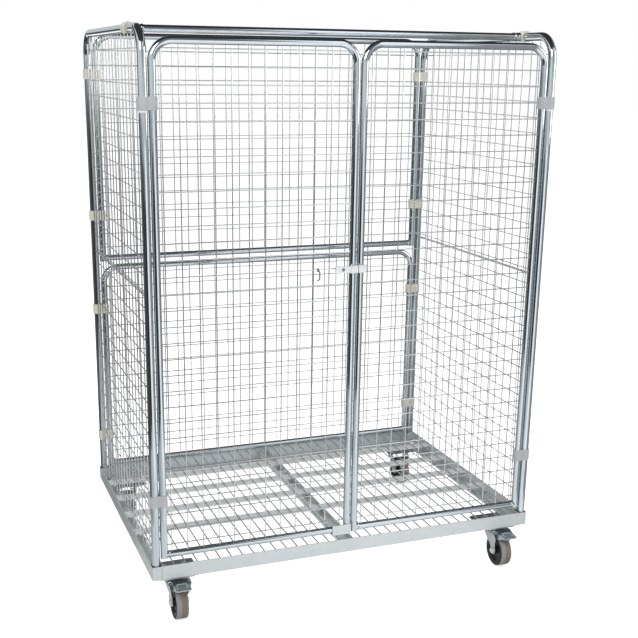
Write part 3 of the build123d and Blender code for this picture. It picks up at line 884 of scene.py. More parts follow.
@dataclass
class MeshPanel:
    """A bent tube frame filled with welded wire mesh, in a plane of its own.

    Attributes:
        middle: Point of the plane under the panel's middle, at the floor.
        along: Direction of the rows; a hinge is at the start.
        face: Direction that the rows lie on.
        half: Half the distance between the upright tubes.
        foot: Level of the tube's ends.
        low: Level of the lower wire ends.
        top: Level of the top tube's axis.
        tube: Diameter of the tube.
        bend: Bend radius of the tube's axis.
        foot_rail: Diameter of the straight rail between the feet, 0 for none.
        hinged: Whether rows end clear of the hinge clips.
        bead: Section of the foot rail's welds, as height off the rail and distance along it.
    """

    middle: Vector
    along: Vector
    face: Vector
    half: float
    foot: float
    low: float
    top: float
    tube: float
    bend: float
    foot_rail: float = 0.0
    hinged: bool = False
    wire_radius: float = 1.75
    layer: float = 1.8
    pitch: float = 48.5
    first_row: float = 254.0
    row_pitch: float = 48.0
    row_count: int = 31
    row_clear: float = 3.5
    hinge_clear: float = 18.5
    weld: float = 1.5
    bead: tuple[Point2, ...] = ((-0.4, 0.0), (1.6, 1.0), (1.3, 3.0), (-0.4, 5.5))
    bead_sunk: float = 1.0

    @classmethod
    def railed(cls, middle: Vector, along: Vector, face: Vector, half: float, levels: Point2,
               hinged: bool) -> "MeshPanel":
        """Panel in the thinner tube, with a rail between its feet.

        Args:
            middle: Point of the plane under the panel's middle, at the floor.
            along: Direction of the rows.
            face: Direction that the rows lie on.
            half: Half the distance between the upright tubes.
            levels: Levels of the foot rail's and the top tube's axes.
            hinged: Whether rows end clear of the hinge clips.

        Returns:
            The panel.
        """
        bottom, top = levels
        wire_foot = bottom + PANEL_RAIL / 2 - PANEL_WIRE_SUNK
        return cls(middle, along, face, half, bottom - PANEL_TUBE / 2, wire_foot, top, PANEL_TUBE, PANEL_BEND,
                   PANEL_RAIL, hinged)

    def build(self, name: str, body: str) -> None:
        """Build the tube frame and the mesh as two pieces.

        Args:
            name: Start of the names of both pieces and of their nodes.
            body: Body that carries them.
        """
        tube = Shape()
        corners = [self.point(-self.half, self.foot), self.point(-self.half, self.top),
                   self.point(self.half, self.top), self.point(self.half, self.foot)]
        tube.tube(bent_path(corners, self.bend * MM), self.tube / 2 * MM, TUBE_SIDES)
        if self.foot_rail > 0:
            self._add_foot_rail(tube)
        tube.piece(f"{name}_tube", ZINC_TUBE, body, Slot.TUBE, [f"{name}_frame"])
        wires = Shape()
        self._add_columns(wires)
        self._add_rows(wires)
        wires.piece(f"{name}_wires", ZINC_WIRE, body, Slot.WIRE, [f"{name}_mesh"])

    def point(self, across: float, level: float, out: float = 0.0) -> Vector:
        """Point of the panel from millimetres along, up and towards its face."""
        return self.middle + (self.along * across + Z * level + self.face * out) * MM

    def _reach(self, outer: float, past: float) -> float:
        """Distance to the tube's inner side, with room for a weld.

        Args:
            outer: Distance to the tube's axis.
            past: How far past the start of the tube's bend.

        Returns:
            Distance to where a wire ends.
        """
        if past <= 0:
            return outer - self.tube / 2 + self.weld
        return outer - self.bend + math.sqrt((self.bend - self.tube / 2) ** 2 - past ** 2) + self.weld

    def _add_foot_rail(self, shape: Shape) -> None:
        """Add the straight rail between the feet, with a weld at each end.

        Args:
            shape: Mesh to add to.
        """
        level = self.foot + self.tube / 2
        radius = self.foot_rail / 2
        shape.tube([self.point(-self.half, level), self.point(self.half, level)], radius * MM, RAIL_SIDES)
        start = self.half - self.tube / 2 - self.bead_sunk
        bead = [(radius + height, distance) for height, distance in self.bead]
        for sign in (-1, 1):
            side = -self.along * sign
            shape.ring(bead, placed(self.point(sign * start, level), Z, side.cross(Z)), RAIL_SIDES)

    def _add_columns(self, shape: Shape) -> None:
        """Add the upright wires.

        Args:
            shape: Mesh to add to.
        """
        columns = round(2 * self.half / self.pitch)
        for i in range(columns):
            x = -self.half + 2 * self.half * (i + 0.5) / columns
            high = self._reach(self.top, abs(x) + self.wire_radius - self.half + self.bend)
            ends = [self.point(x, level, -self.layer) for level in (self.low, high)]
            shape.tube(ends, self.wire_radius * MM, WIRE_SIDES)

    def _add_rows(self, shape: Shape) -> None:
        """Add the level wires, which stop short of hinge clips.

        Args:
            shape: Mesh to add to.
        """
        for k in range(self.row_count):
            z = self.first_row + self.row_pitch * k
            if not self.low + self.row_clear < z < self.top - self.tube / 2 - self.row_clear:
                continue
            end = self._reach(self.half, z + self.wire_radius - self.top + self.bend)
            clipped = self.hinged and z in HINGE_LEVELS
            start = self.hinge_clear - self.half if clipped else -end
            ends = [self.point(across, z, self.layer) for across in (start, end)]
            shape.tube(ends, self.wire_radius * MM, WIRE_SIDES)


# Cage

@dataclass
class Cage:
    """Both sides, the two back panels, the rear clips and the tie bar."""

    side_foot: float = 145.0
    side_low: float = 195.0
    side_top: float = 1747.5
    side_bend: float = 70.0
    rod_level: float = 1010.0
    rod_radius: float = 4.0
    rod_gap: float = 0.1
    rod_sunk: float = 1.0
    back_half: float = 609.0
    back_levels: tuple[Point2, Point2] = ((206.0, 949.0), (983.0, 1742.5))
    clip_levels: tuple[float, ...] = (320.55, 800.55, 1136.55, 1616.55)
    clip_height: float = 33.0
    clip_wall: float = 3.0
    clip_round: float = 10.0
    groove: float = 0.9
    groove_depth: float = 0.7
    bar_y: float = -265.0
    hook_wall: float = 6.0
    hook_gap: float = 0.1
    hook_length: float = 34.0
    hook_socket: float = 25.0
    hook_socket_wall: float = 2.0
    hook_slot: float = 14.0

    def build(self) -> None:
        """Build every piece of the cage."""
        for side in Side:
            self._side(side)
            self._rear_clips(side)
        for word, levels in zip(("lower", "upper"), self.back_levels):
            panel = MeshPanel.railed(at(0, LEG_Y, 0), -X, -Y, self.back_half, levels, False)
            panel.build(f"back_{word}", "frame")
        self._tie_bar()
        self._tie_bar_ends()

    def _side(self, side: Side) -> None:
        """Build one side: bent tube, mesh and middle rod.

        Args:
            side: Which side.
        """
        panel = MeshPanel(at(side.value * LEG_X, 0, 0), Y, -X * side.value, LEG_Y, self.side_foot,
                          self.side_low, self.side_top, LEG_TUBE, self.side_bend, hinged=True)
        panel.build(f"{side.word}_side", "frame")
        rod = Shape()
        out = self.rod_radius + self.rod_gap
        end = LEG_Y - LEG_TUBE / 2 + self.rod_sunk
        ends = [panel.point(across, self.rod_level, out) for across in (-end, end)]
        rod.tube(ends, self.rod_radius * MM, ROD_SIDES)
        rod.piece(f"{side.word}_middle_rod", ZINC_WIRE, "frame", Slot.WIRE, [f"{side.word}_side_rod"])

    def _rear_clips(self, side: Side) -> None:
        """Build the beige clips round a rear leg and the back panel's leg beside it, with a parting groove.

        Args:
            side: Which side.
        """
        outside = -LEG_TUBE / 2 - self.clip_wall
        inside = LEG_X - self.back_half + PANEL_TUBE / 2 + self.clip_wall
        half = self.clip_height / 2
        seam = self.groove / 2
        slabs = ((-half, half - seam, 0.0), (-seam, self.groove, self.groove_depth), (seam, half - seam, 0.0))
        shape = Shape()
        for level in self.clip_levels:
            for start, depth, inset in slabs:
                outline = rounded_box_outline(inside - outside - 2 * inset, -2 * outside - 2 * inset,
                                              self.clip_round, 6)
                foot = at(side.value * (LEG_X - (inside + outside) / 2), LEG_Y, level + start)
                shape.prism(outline, placed(foot, -X * side.value, Y), depth * -side.value)
        shape.piece(f"{side.word}_back_clips", BEIGE_PLASTIC, "frame", Slot.BEIGE,
                    [f"rear_clips_{side.word}"], bevel=1.0)

    def _bar_end(self) -> float:
        """Half the length of the tie bar, which ends at the walls of its hooks."""
        return LEG_X - LEG_TUBE / 2 - self.hook_wall

    def _tie_bar(self) -> None:
        """Tube across the top."""
        bar = Shape()
        end = self._bar_end()
        bar.tube([at(x, self.bar_y, self.side_top) for x in (-end, end)], PANEL_TUBE / 2 * MM, TUBE_SIDES)
        bar.piece("top_tie_bar", ZINC_TUBE, "frame", Slot.TUBE, ["tie_bar"])

    def _tie_bar_ends(self) -> None:
        """Plastic hook on the side tube and ribbed sleeve on the bar, at each end of the bar."""
        hooks = Shape()
        sleeves = Shape()
        inner = LEG_TUBE / 2 + self.hook_gap
        outer = LEG_TUBE / 2 + self.hook_wall
        opening = math.degrees(math.asin(self.hook_slot / 2 / inner))
        hook = (arc((0.0, 0.0), outer, opening - 90, 270 - opening, 28)
                + arc((0.0, 0.0), inner, 270 - opening, opening - 90, 28))
        bore = PANEL_TUBE / 2
        wall = bore + self.hook_socket_wall
        sleeve = [(bore + 0.1, 0.0), (wall - 0.6, 0.3), (wall, 1.2), (wall, 7.0), (bore + 0.6, 9.0),
                  (bore + 0.6, 12.0), (wall, 14.0), (wall, self.hook_socket),
                  (bore + 1.0, self.hook_socket + 4.0)]
        for side in Side:
            rail = at(side.value * LEG_X, self.bar_y + self.hook_length / 2, self.side_top)
            hooks.prism(hook, placed(rail, X, Z), self.hook_length)
            start = at(side.value * (self._bar_end() - self.hook_socket), self.bar_y, self.side_top)
            sleeves.ring(sleeve, placed(start, Y * side.value, Z), TUBE_SIDES)
        hooks.piece("tie_bar_end_hooks", BEIGE_PLASTIC, "frame", Slot.BEIGE, ["tie_bar_hooks"], bevel=0.9)
        sleeves.piece("tie_bar_end_sleeves", ZINC_TUBE, "frame", Slot.TUBE)


# Doors

@dataclass
class Doors:
    """Two doors, the clips they hang on, the latch, the stop and the mesh hook."""

    pitch: float = 26.0
    door_x: float = 310.75
    half: float = 298.25
    bottom: float = 222.0
    top: float = 1715.0
    seat_gap: float = 0.1
    clip_height: float = 36.0
    clip_wall: float = 3.0
    clip_waist: float = 11.0
    collar_height: float = 6.0
    collar_gap: float = 0.3
    latch_level: float = 1068.0
    sleeve: Point2 = (8.0, 24.0)
    sleeve_wall: float = 1.5
    sleeve_round: float = 2.2
    sleeve_bore_round: float = 0.7
    guide_span: Point2 = (-24.0, 23.0)
    keeper_span: Point2 = (1.0, 25.0)
    bolt_gap: float = 0.3
    bolt_nose: float = -3.0
    bolt_length: float = 70.0
    bolt_chamfer: float = 3.0
    handle_width: float = 17.0
    handle_round: float = 3.0
    hole_from_tail: float = 25.0
    hole_radius: float = 5.0
    stop_edge: float = -1.5
    stop_length: float = 63.0
    stop_height: float = 35.0
    stop_drop: float = 6.0
    stop_lip: float = 20.0
    stop_thick: float = 2.5
    stop_fold: float = 4.0
    stop_welds: Point2 = (-18.0, -48.0)
    hook_wire: float = 2.1
    hook_bend: float = 2.4
    hook_bow: float = 5.0
    hook_tail: float = 10.5
    hook_neck: float = 13.0
    hook_toe: float = 8.0

    def build(self) -> None:
        """Build every piece of the doors."""
        for side in Side:
            middle = at(side.value * self.door_x, -LEG_Y, 0)
            panel = MeshPanel.railed(middle, -X * side.value, -Y, self.half, (self.bottom, self.top), True)
            panel.build(f"{side.word}_door", f"{side.word}_door")
            self._clips(side)
        self._collars()
        self._latch_sleeves()
        self._latch_bolt()
        self._stop()
        self._hook()

    def _front(self) -> float:
        """Place along Y of what is fixed to the front of a door tube."""
        return -LEG_Y - PANEL_TUBE / 2 - self.seat_gap

    def _clips(self, side: Side) -> None:
        """Build the moulded figure-eight hinge clips round a side leg and the door tube.

        Args:
            side: Which side.
        """
        leg_eye = LEG_TUBE / 2 + self.clip_wall
        door_eye = PANEL_TUBE / 2 + self.clip_wall
        leg_angle = math.degrees(math.asin(self.clip_waist / leg_eye))
        door_angle = math.degrees(math.asin(self.clip_waist / door_eye))
        outline = (arc((0.0, 0.0), leg_eye, leg_angle, 360 - leg_angle, 24)
                   + arc((self.pitch, 0.0), door_eye, door_angle - 180, 180 - door_angle, 24))
        shape = Shape()
        for level in HINGE_LEVELS:
            foot = at(side.value * LEG_X, -LEG_Y, level - self.clip_height / 2)
            shape.prism(outline, placed(foot, -X * side.value, Y), self.clip_height * -side.value)
        shape.piece(f"{side.word}_door_clips", GREY_PLASTIC, f"{side.word}_hinge", Slot.GREY,
                    [f"{side.word}_hinge_clips"], bevel=1.4)

    def _collars(self) -> None:
        """White rings under the upper clips."""
        shape = Shape()
        bore = LEG_TUBE / 2
        height = self.collar_height
        ring = [(bore, 0.0), (bore + 1.6, 0.2), (bore + 2.0, 0.8), (bore + 2.0, height - 0.6),
                (bore + 1.5, height), (bore, height)]
        foot = max(HINGE_LEVELS) - self.clip_height / 2 - self.collar_gap - height
        for side in Side:
            shape.ring(ring, placed(at(side.value * LEG_X, -LEG_Y, foot), X, Y), TUBE_SIDES)
        shape.piece("clip_collars", WHITE_PLASTIC, "frame", Slot.WHITE, ["hinge_collars"])

    def _latch_sleeves(self) -> None:
        """Folded guide on the left door and keeper on the right one."""
        depth, height = self.sleeve
        wall = self.sleeve_wall
        outer = rounded_box_outline(depth, height, self.sleeve_round, 3)
        inner = rounded_box_outline(depth - 2 * wall, height - 2 * wall, self.sleeve_bore_round, 3)
        sleeves = (("guide", self.guide_span, "left_door"), ("keeper", self.keeper_span, "right_door"))
        for word, (start, length), body in sleeves:
            shape = Shape()
            corner = at(start, self._front() - depth / 2, self.latch_level)
            shape.ring_prism(outer, inner, placed(corner, Y, Z), length)
            shape.piece(f"latch_{word}_sleeve", PALE_ZINC_AND_GLINT, body, Slot.LATCH, [f"latch_{word}"], bevel=0.3)

    def _latch_bolt(self) -> None:
        """Flat bolt with its handle and its padlock hole, and a dark disc in the hole as painted shade."""
        depth, height = self.sleeve
        gap = self.sleeve_wall + self.bolt_gap
        half = height / 2 - gap
        nose = self.bolt_nose
        bevel = self.bolt_chamfer
        tail = nose - self.bolt_length
        hole_x = tail + self.hole_from_tail
        hole = arc((hole_x, 0.0), self.hole_radius, 180, -180, 24)[:-1]
        plate = [(tail, -half), (nose - bevel, -half), (nose, bevel - half), (nose, half - bevel),
                 (nose - bevel, half), (tail, half)]
        outline = plate + [(tail, 0.0)] + hole + [hole[0], (tail, 0.0)]

        def upright(x: float) -> Matrix:
            """Placement on the bolt's back, its third axis to the front."""
            return placed(at(x, self._front() - gap, self.latch_level), X, Z)

        bolt = Shape()
        bolt.prism(outline, upright(0), depth - 2 * gap)
        handle = rounded_box_outline(self.handle_width, height, self.handle_round)
        bolt.prism(handle, upright(tail + self.handle_width / 2), depth - gap)
        bolt.piece("latch_slide", PALE_ZINC_AND_GLINT, "bolt", Slot.LATCH, ["latch_bolt"], bevel=0.3)
        # Dark disc in the padlock hole: painted shade of the hole's depth.
        hole_shade_disc = Shape()
        hole_shade_disc.lathe([(4.9, 0.0), (4.9, 1.0), (4.2, 1.4)], upright(hole_x), WASHER_SIDES)
        hole_shade_disc.piece("latch_hole_shade", DARK_STEEL_AND_SHADE, "bolt", Slot.LATCH)

    def _stop(self) -> None:
        """Angle plate on the foot of the left door, folded back under it, with two plug welds."""
        back = self._front()
        thick = self.stop_thick
        fold = self.stop_fold
        face = back - thick
        low = self.bottom - PANEL_TUBE / 2 - self.stop_drop
        outline = ([(back, low + self.stop_height), (face, low + self.stop_height)]
                   + arc((face + fold, low + fold), fold, 180, 270, 5)
                   + [(back + self.stop_lip, low), (back + self.stop_lip, low + thick)]
                   + arc((face + fold, low + fold), fold - thick, 270, 180, 4))
        shape = Shape()
        shape.prism(outline, placed(at(self.stop_edge - self.stop_length, 0, 0), Y, Z), self.stop_length)
        weld = [(4.6, 0.0), (4.2, 0.5), (2.6, 0.9), (0.4, 1.0)]
        for x in self.stop_welds:
            shape.lathe(weld, placed(at(x, face, self.bottom), X, Z), BOLT_SIDES)
        shape.piece("left_door_stop_plate", STOP_ZINC, "left_door", Slot.LATCH, ["door_stop"], bevel=0.5)

    def _hook(self) -> None:
        """Small round wire hook hanging on a row of the left door."""
        low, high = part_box("mesh_hook")
        radius = self.hook_wire * MM
        bow = self.hook_bow * MM
        x = (low[0] + high[0]) / 2
        back = high[1] - radius
        front = low[1] + radius
        top = high[2] - radius
        corners = [Vector((x, back, top - self.hook_tail * MM)), Vector((x, back, top)),
                   Vector((x, front, top)), Vector((x + bow, front, top - self.hook_neck * MM)),
                   Vector((x + bow, front, low[2] + self.hook_toe * MM)),
                   Vector((x - bow / 2, front, low[2] + radius))]
        shape = Shape()
        shape.tube(bent_path(corners, self.hook_bend * MM, 8), radius, HOOK_SIDES)
        shape.piece("hanging_wire_hook", DARK_STEEL_AND_SHADE, "left_door", Slot.WIRE, ["mesh_hook"])


# Castors

@dataclass
class Castor:
    """One swivel castor, with its wheel trailing towards the front.

    Attributes:
        corner: Name of its corner.
        x: Place of the swivel axis.
        y: Place of the swivel axis.
        braked: Whether it has a pedal.
    """

    corner: str
    x: float
    y: float
    braked: bool
    trail: float = 29.0
    axle_level: float = 54.0
    axle_radius: float = 5.0
    axle_head: Point2 = (9.0, 5.0)
    axle_end: float = 7.0
    washer: Point2 = (9.4, 1.4)
    plate_size: Point2 = (105.0, 84.0)
    plate_round: float = 9.0
    plate_low: float = 136.0
    plate_thick: float = 4.0
    king_pin: float = 7.0
    king_pin_head: Point2 = (12.0, 5.0)
    king_pin_drop: float = 5.3
    bolt_spread: float = 31.0
    shank: float = 4.0
    shank_end: float = 10.0
    bolt_washer: Point2 = (8.4, 1.4)
    bolt_nut: Point2 = (7.4, 6.5)
    rail_seat: float = 149.0
    gusset_seat: float = 145.0
    crown_top: float = 126.0
    crown_fold: float = 7.0
    crown_skirt: float = 9.0
    sheet: float = 3.0
    fork_inside: float = 22.0
    fork_back: float = 16.0
    fork_front: float = 30.0
    fork_knee: float = 70.0
    fork_flare: float = 13.0
    brake_lobe: float = 11.0
    ear_radius: float = 6.0
    foot_radius: float = 14.0
    wheel_radius: float = 54.0
    wheel_half: float = 19.0
    tyre_depth: float = 14.0
    tread_base: float = 3.2
    tread_split: float = 3.2
    outer_groove: float = 9.5
    pivot: Point2 = (-38.0, 120.0)
    slope: float = 8.0
    pedal_half: float = 25.0
    pedal_length: float = 62.0
    pedal_low: float = 10.0
    pedal_high: float = 13.0
    pedal_round: float = 5.0
    pedal_cheek: float = 1.6
    pedal_heel: float = 2.0
    pedal_sunk: float = 1.0
    pedal_web: float = 3.0
    web_round: float = 0.8
    pad_size: Point2 = (34.0, 11.0)
    pad_round: float = 2.0
    pad_place: Point2 = (-14.5, -10.0)
    barrel: Point2 = (31.5, 5.4)
    pin_radius: float = 2.9
    pin_gap: float = 0.4
    rib_half: float = 16.0
    rib_span: Point2 = (-52.0, -26.0)
    rib_bend: float = 6.0
    rib_radius: float = 2.2
    rib_sunk: float = 0.6
    lip_inset: float = 1.4
    lip_start: float = -34.0
    lip_radius: float = 2.1

    def build(self) -> None:
        """Build every piece of the castor."""
        self._plate()
        self._bolts()
        self._fork()
        self._axle()
        self._hub()
        self._tyre()
        if self.braked:
            self._pedal()
            self._pedal_trim()

    def _piece(self, shape: Shape, name: str, finish: Finish, part: str, node: str = "", bevel: float = 0.0,
               slot: Slot = Slot.CASTOR) -> None:
        """Turn a mesh into a piece of this castor.

        Args:
            shape: The mesh.
            name: Name of the piece without its corner.
            finish: Finish of its surface.
            part: Body that carries it, without its corner; none for the frame.
            node: Node that it stands for, without its corner; none for trim.
            bevel: Width of rounded edges in millimetres.
            slot: Material slot of the record.
        """
        body = f"{self.corner}_{part}" if part else "frame"
        nodes = [f"{self.corner}_{node}"] if node else []
        shape.piece(f"{self.corner}_{name}", finish, body, slot, nodes, bevel)

    def spot(self, x: float, y: float, z: float) -> Vector:
        """Point in metres from millimetres measured at the swivel axis."""
        return at(self.x + x, self.y + y, z)

    def upright(self, z: float = 0.0, x: float = 0.0, y: float = 0.0) -> Matrix:
        """Placement with its third axis up."""
        return placed(self.spot(x, y, z), X, Y)

    def across(self, x: float = 0.0) -> Matrix:
        """Placement on the wheel's axle with its third axis along X."""
        return placed(self.spot(x, -self.trail, self.axle_level), Y, Z)

    def _plate(self) -> None:
        """Pressed top plate with the upper race and the king pin."""
        shape = Shape()
        low = self.plate_low
        outline = rounded_box_outline(*self.plate_size, self.plate_round)
        shape.prism(outline, self.upright(low), self.plate_thick)
        race = [(12.0, low - 3.7), (19.0, low - 3.7), (21.4, low - 2.6), (22.0, low - 1.0), (22.0, low)]
        shape.lathe(race, self.upright(), RACE_SIDES)
        pin_foot = self.crown_top - self.sheet - self.king_pin_drop
        head, head_height = self.king_pin_head
        shape.lathe([(self.king_pin, pin_foot), (self.king_pin, low)], self.upright(), BOLT_SIDES)
        shape.prism(hexagon(head), self.upright(pin_foot), head_height)
        self._piece(shape, "top_plate", CASTOR_ZINC, "", "castor_plate", bevel=0.7)

    def _bolts(self) -> None:
        """Four bolts of the top plate, with a button head below and a washer and nut above."""
        shape = Shape()
        low = self.plate_low
        washer, thick = self.bolt_washer
        nut, nut_height = self.bolt_nut
        button = [(0.5, low - 2.1), (3.6, low - 2.0), (6.2, low - 1.2), (7.0, low)]
        outward = math.copysign(1.0, self.y)
        for sx, sy in CORNERS:
            place = (sx * self.bolt_spread, sy * self.bolt_spread)
            seat = self.rail_seat if sy == outward else self.gusset_seat
            axis = self.upright(0.0, *place)
            shape.lathe(button, axis, BOLT_SIDES)
            shape.lathe([(self.shank, low - 1.0), (self.shank, seat + self.shank_end)], axis, ROD_SIDES)
            shape.lathe([(washer, seat - 0.1), (washer, seat + thick)], axis, BOLT_SIDES)
            shape.prism(hexagon(nut), self.upright(seat + thick, *place), nut_height)
        self._piece(shape, "plate_bolts", CASTOR_ZINC, "", bevel=0.4)

    def _fork_reach(self, z: float) -> float:
        """Half width of the fork over its legs, which lean out above the knee."""
        share = max(0.0, z - self.fork_knee) / (self.crown_top - self.fork_knee)
        return self.fork_inside + self.sheet + self.fork_flare * share

    def _leg_levels(self) -> list[tuple[float, float, float]]:
        """Side view of a fork leg.

        Returns:
            Level, front edge and back edge, from the leg's round foot up.
        """
        foot_y = -self.trail
        lobe = self.brake_lobe if self.braked else 0.0
        foot = [(self.axle_level + rise, foot_y - half, foot_y + half)
                for half, rise in arc((0.0, 0.0), self.foot_radius, -84, 0, 7)]
        edges = [(62.0, 13.6, 14.0), (72.0, 12.8, 20.0), (84.0, 13.0 + 0.2 * lobe, 30.0),
                 (96.0, 13.0 + lobe, 39.0), (106.0, 13.0 + lobe, 43.0), (114.0, 12.0 + lobe, 44.0)]
        upper = [(z, foot_y - front, foot_y + back) for z, front, back in edges]
        neck = [(120.0, -self.fork_front - 1.8 * lobe, self.fork_back - 1.5),
                (self.crown_top - 4.0, -self.fork_front - 1.5 * lobe, self.fork_back)]
        return foot + upper + neck

    def _fork(self) -> None:
        """Pressed fork: folded crown, two legs that lean out, the swivel head and the brake's ears."""
        shape = Shape()
        top = self.crown_top
        sheet = self.sheet
        for side in Side:
            rings = []
            for z, front, back in self._leg_levels():
                outer = self._fork_reach(z)
                corners = ((outer, front), (outer, back), (outer - sheet, back), (outer - sheet, front))
                rings.append([self.spot(side.value * x, y, z) for x, y in corners])
            shape.loft(rings)
        fold = self.crown_fold
        bend = (self._fork_reach(top) - fold, top - fold)
        skirt = top - self.crown_skirt
        wide = self._fork_reach(skirt)
        over = [(wide, skirt)] + arc(bend, fold, 12, 90, 6)
        under = [(wide - sheet, skirt)] + arc(bend, fold - sheet, 12, 90, 6)
        crown = over + [(-x, z) for x, z in reversed(over)] + [(-x, z) for x, z in under] + under[::-1]
        shape.prism(crown, placed(self.spot(0, self.fork_back, 0), X, Z), self.fork_back + self.fork_front)
        if self.braked:
            ear_x = self._fork_reach(self.pivot[1])
            root = 8.0 - self.fork_front
            ear = (arc(self.pivot, self.ear_radius, 75, 265, 12)
                   + [(root - 6.0, top - 14.0), (root, top - 8.0), (root, top - 1.0)])
            for x in (-ear_x, ear_x - sheet):
                shape.prism(ear, placed(self.spot(x, 0, 0), Y, Z), sheet)
        head = [(7.2, top - 1.0), (31.0, top - 1.0), (31.0, top + 2.4), (29.4, top + 4.4), (25.0, top + 5.6),
                (22.4, top + 5.8), (7.2, top + 5.8)]
        shape.ring(head, self.upright(), HEAD_SIDES)
        self._piece(shape, "pressed_fork", CASTOR_ZINC, "swivel", "fork", bevel=0.6)

    def _axle(self) -> None:
        """Axle bolt with a hexagon head, washers and a lock nut."""
        shape = Shape()
        outside = self.fork_inside + self.sheet
        end = outside + self.axle_end
        radius, thick = self.washer
        head, head_height = self.axle_head
        shape.lathe([(self.axle_radius, -end), (self.axle_radius, end)], self.across(), BOLT_SIDES)
        for sign in (-1, 1):
            shape.lathe([(radius, 0.0), (radius, sign * thick)], self.across(sign * outside), WASHER_SIDES)
            shape.prism(hexagon(head), self.across(sign * (outside + thick)), sign * head_height)
        # The pale zinc brightens the axle bolt as a painted glint.
        self._piece(shape, "axle_bolt", PALE_ZINC_AND_GLINT, "swivel", "axle", bevel=0.5)

    def _hub(self) -> None:
        """Dished hub with its boss."""
        shape = Shape()
        half = self.wheel_half
        rim = self.wheel_radius - self.tyre_depth
        boss = self.fork_inside - 0.3
        face = [(5.2, boss), (12.0, boss), (13.0, boss - 0.8), (13.5, half - 7.5), (16.0, half - 8.5),
                (rim - 8.0, half - 7.5), (rim - 5.0, half - 5.0), (rim - 4.0, half - 2.0),
                (rim - 3.0, half - 1.5), (rim, half - 1.5)]
        shape.lathe(face + mirrored(face), self.across(), HUB_SIDES)
        self._piece(shape, "dished_hub", BLACK_PLASTIC_AND_SHADE, "wheel", "hub", bevel=0.4, slot=Slot.HUB)

    def _groove(self, middle: float) -> list[Point2]:
        """Section of one shallow groove of the tread, from right to left."""
        radius = self.wheel_radius
        return [(radius, middle + 0.7), (radius - 0.8, middle + 0.4), (radius - 0.8, middle - 0.4),
                (radius, middle - 0.7)]

    def _tyre(self) -> None:
        """Tyre wall darkened almost to black as painted shade, and a tread of two tones with round shoulders
        and shallow grooves.
        """
        half = self.wheel_half
        radius = self.wheel_radius
        rim = radius - self.tyre_depth
        flank = [(rim, half - 1.4), (rim + 1.2, half - 0.2), (rim + 3.0, half), (radius - 5.0, half),
                 (radius - 3.4, half - 0.6), (radius - 2.4, half - 1.2)]
        wall = Shape()
        wall.ring(flank + mirrored(flank), self.across(), TYRE_SIDES)
        self._piece(wall, "tyre_wall", TYRE_WALL_SHADE, "wheel", "tyre", slot=Slot.TYRE)
        base = radius - self.tread_base
        shoulder = [(base, half - 0.9), (radius - 1.6, half - 0.4), (radius - 0.5, half - 1.2),
                    (radius, half - 2.6)]
        split = self._groove(-self.tread_split)
        seam = (base, split[1][1])
        brown = (shoulder + self._groove(self.outer_groove) + self._groove(self.tread_split) + split[:2]
                 + [seam])
        grey = [seam] + split[1:] + self._groove(-self.outer_groove) + mirrored(shoulder)
        for name, band, finish in (("tyre_tread", brown, TYRE_BROWN), ("tyre_grey_band", grey, TYRE_GREY)):
            tread = Shape()
            tread.ring(band, self.across(), TYRE_SIDES)
            self._piece(tread, name, finish, "wheel", slot=Slot.TYRE)

    def _tilt(self) -> Matrix:
        """Slope of the pedal at rest."""
        return Matrix.Rotation(math.radians(self.slope), 3, "X")

    def _on_pedal(self, x: float, y: float, z: float) -> Vector:
        """Point of the pedal in metres from millimetres at its pivot."""
        return self.spot(0, *self.pivot) + self._tilt() @ (Vector((x, y, z)) * MM)

    def _pedal_flat(self, y: float, z: float) -> Matrix:
        """Placement along the pedal's plate."""
        return placed(self._on_pedal(0, y, z), self._tilt() @ X, self._tilt() @ Y)

    def _pedal_rod(self, shape: Shape, half: float, radius: float, sides: int) -> None:
        """Add a round rod on the pedal's pivot to a mesh, from millimetres."""
        shape.tube([self._on_pedal(x, 0, 0) for x in (-half, half)], radius * MM, sides)

    def _pedal(self) -> None:
        """Brake pedal: rounded plate with a web and a pad under it, on a barrel with its pin."""
        shape = Shape()
        wide = self.pedal_half
        low = self.pedal_low
        corner = self.pedal_round
        front = corner - self.pedal_length
        heel = self.pedal_heel
        outline = (arc((heel - wide, -heel), heel, 90, 180, 3)
                   + arc((corner - wide, front), corner, 180, 270, 6)
                   + arc((wide - corner, front), corner, 270, 360, 6)
                   + arc((wide - heel, -heel), heel, 0, 90, 3))
        shape.prism(outline, self._pedal_flat(0, low), self.pedal_high - low)
        web = rounded_box_outline(2 * wide, self.pedal_web, self.web_round)
        shape.prism(web, self._pedal_flat(-self.pedal_web / 2, 0), low + self.pedal_sunk)
        pad = rounded_box_outline(*self.pad_size, self.pad_round)
        shape.prism(pad, self._pedal_flat(*self.pad_place), low - self.pad_place[1] + self.pedal_sunk)
        self._pedal_rod(shape, *self.barrel, BOLT_SIDES)
        pin_half = self._fork_reach(self.pivot[1]) - self.pin_gap
        self._pedal_rod(shape, pin_half, self.pin_radius, ROD_SIDES)
        self._piece(shape, "pedal", PEDAL_ZINC, "pedal", "brake_pedal", bevel=0.6)

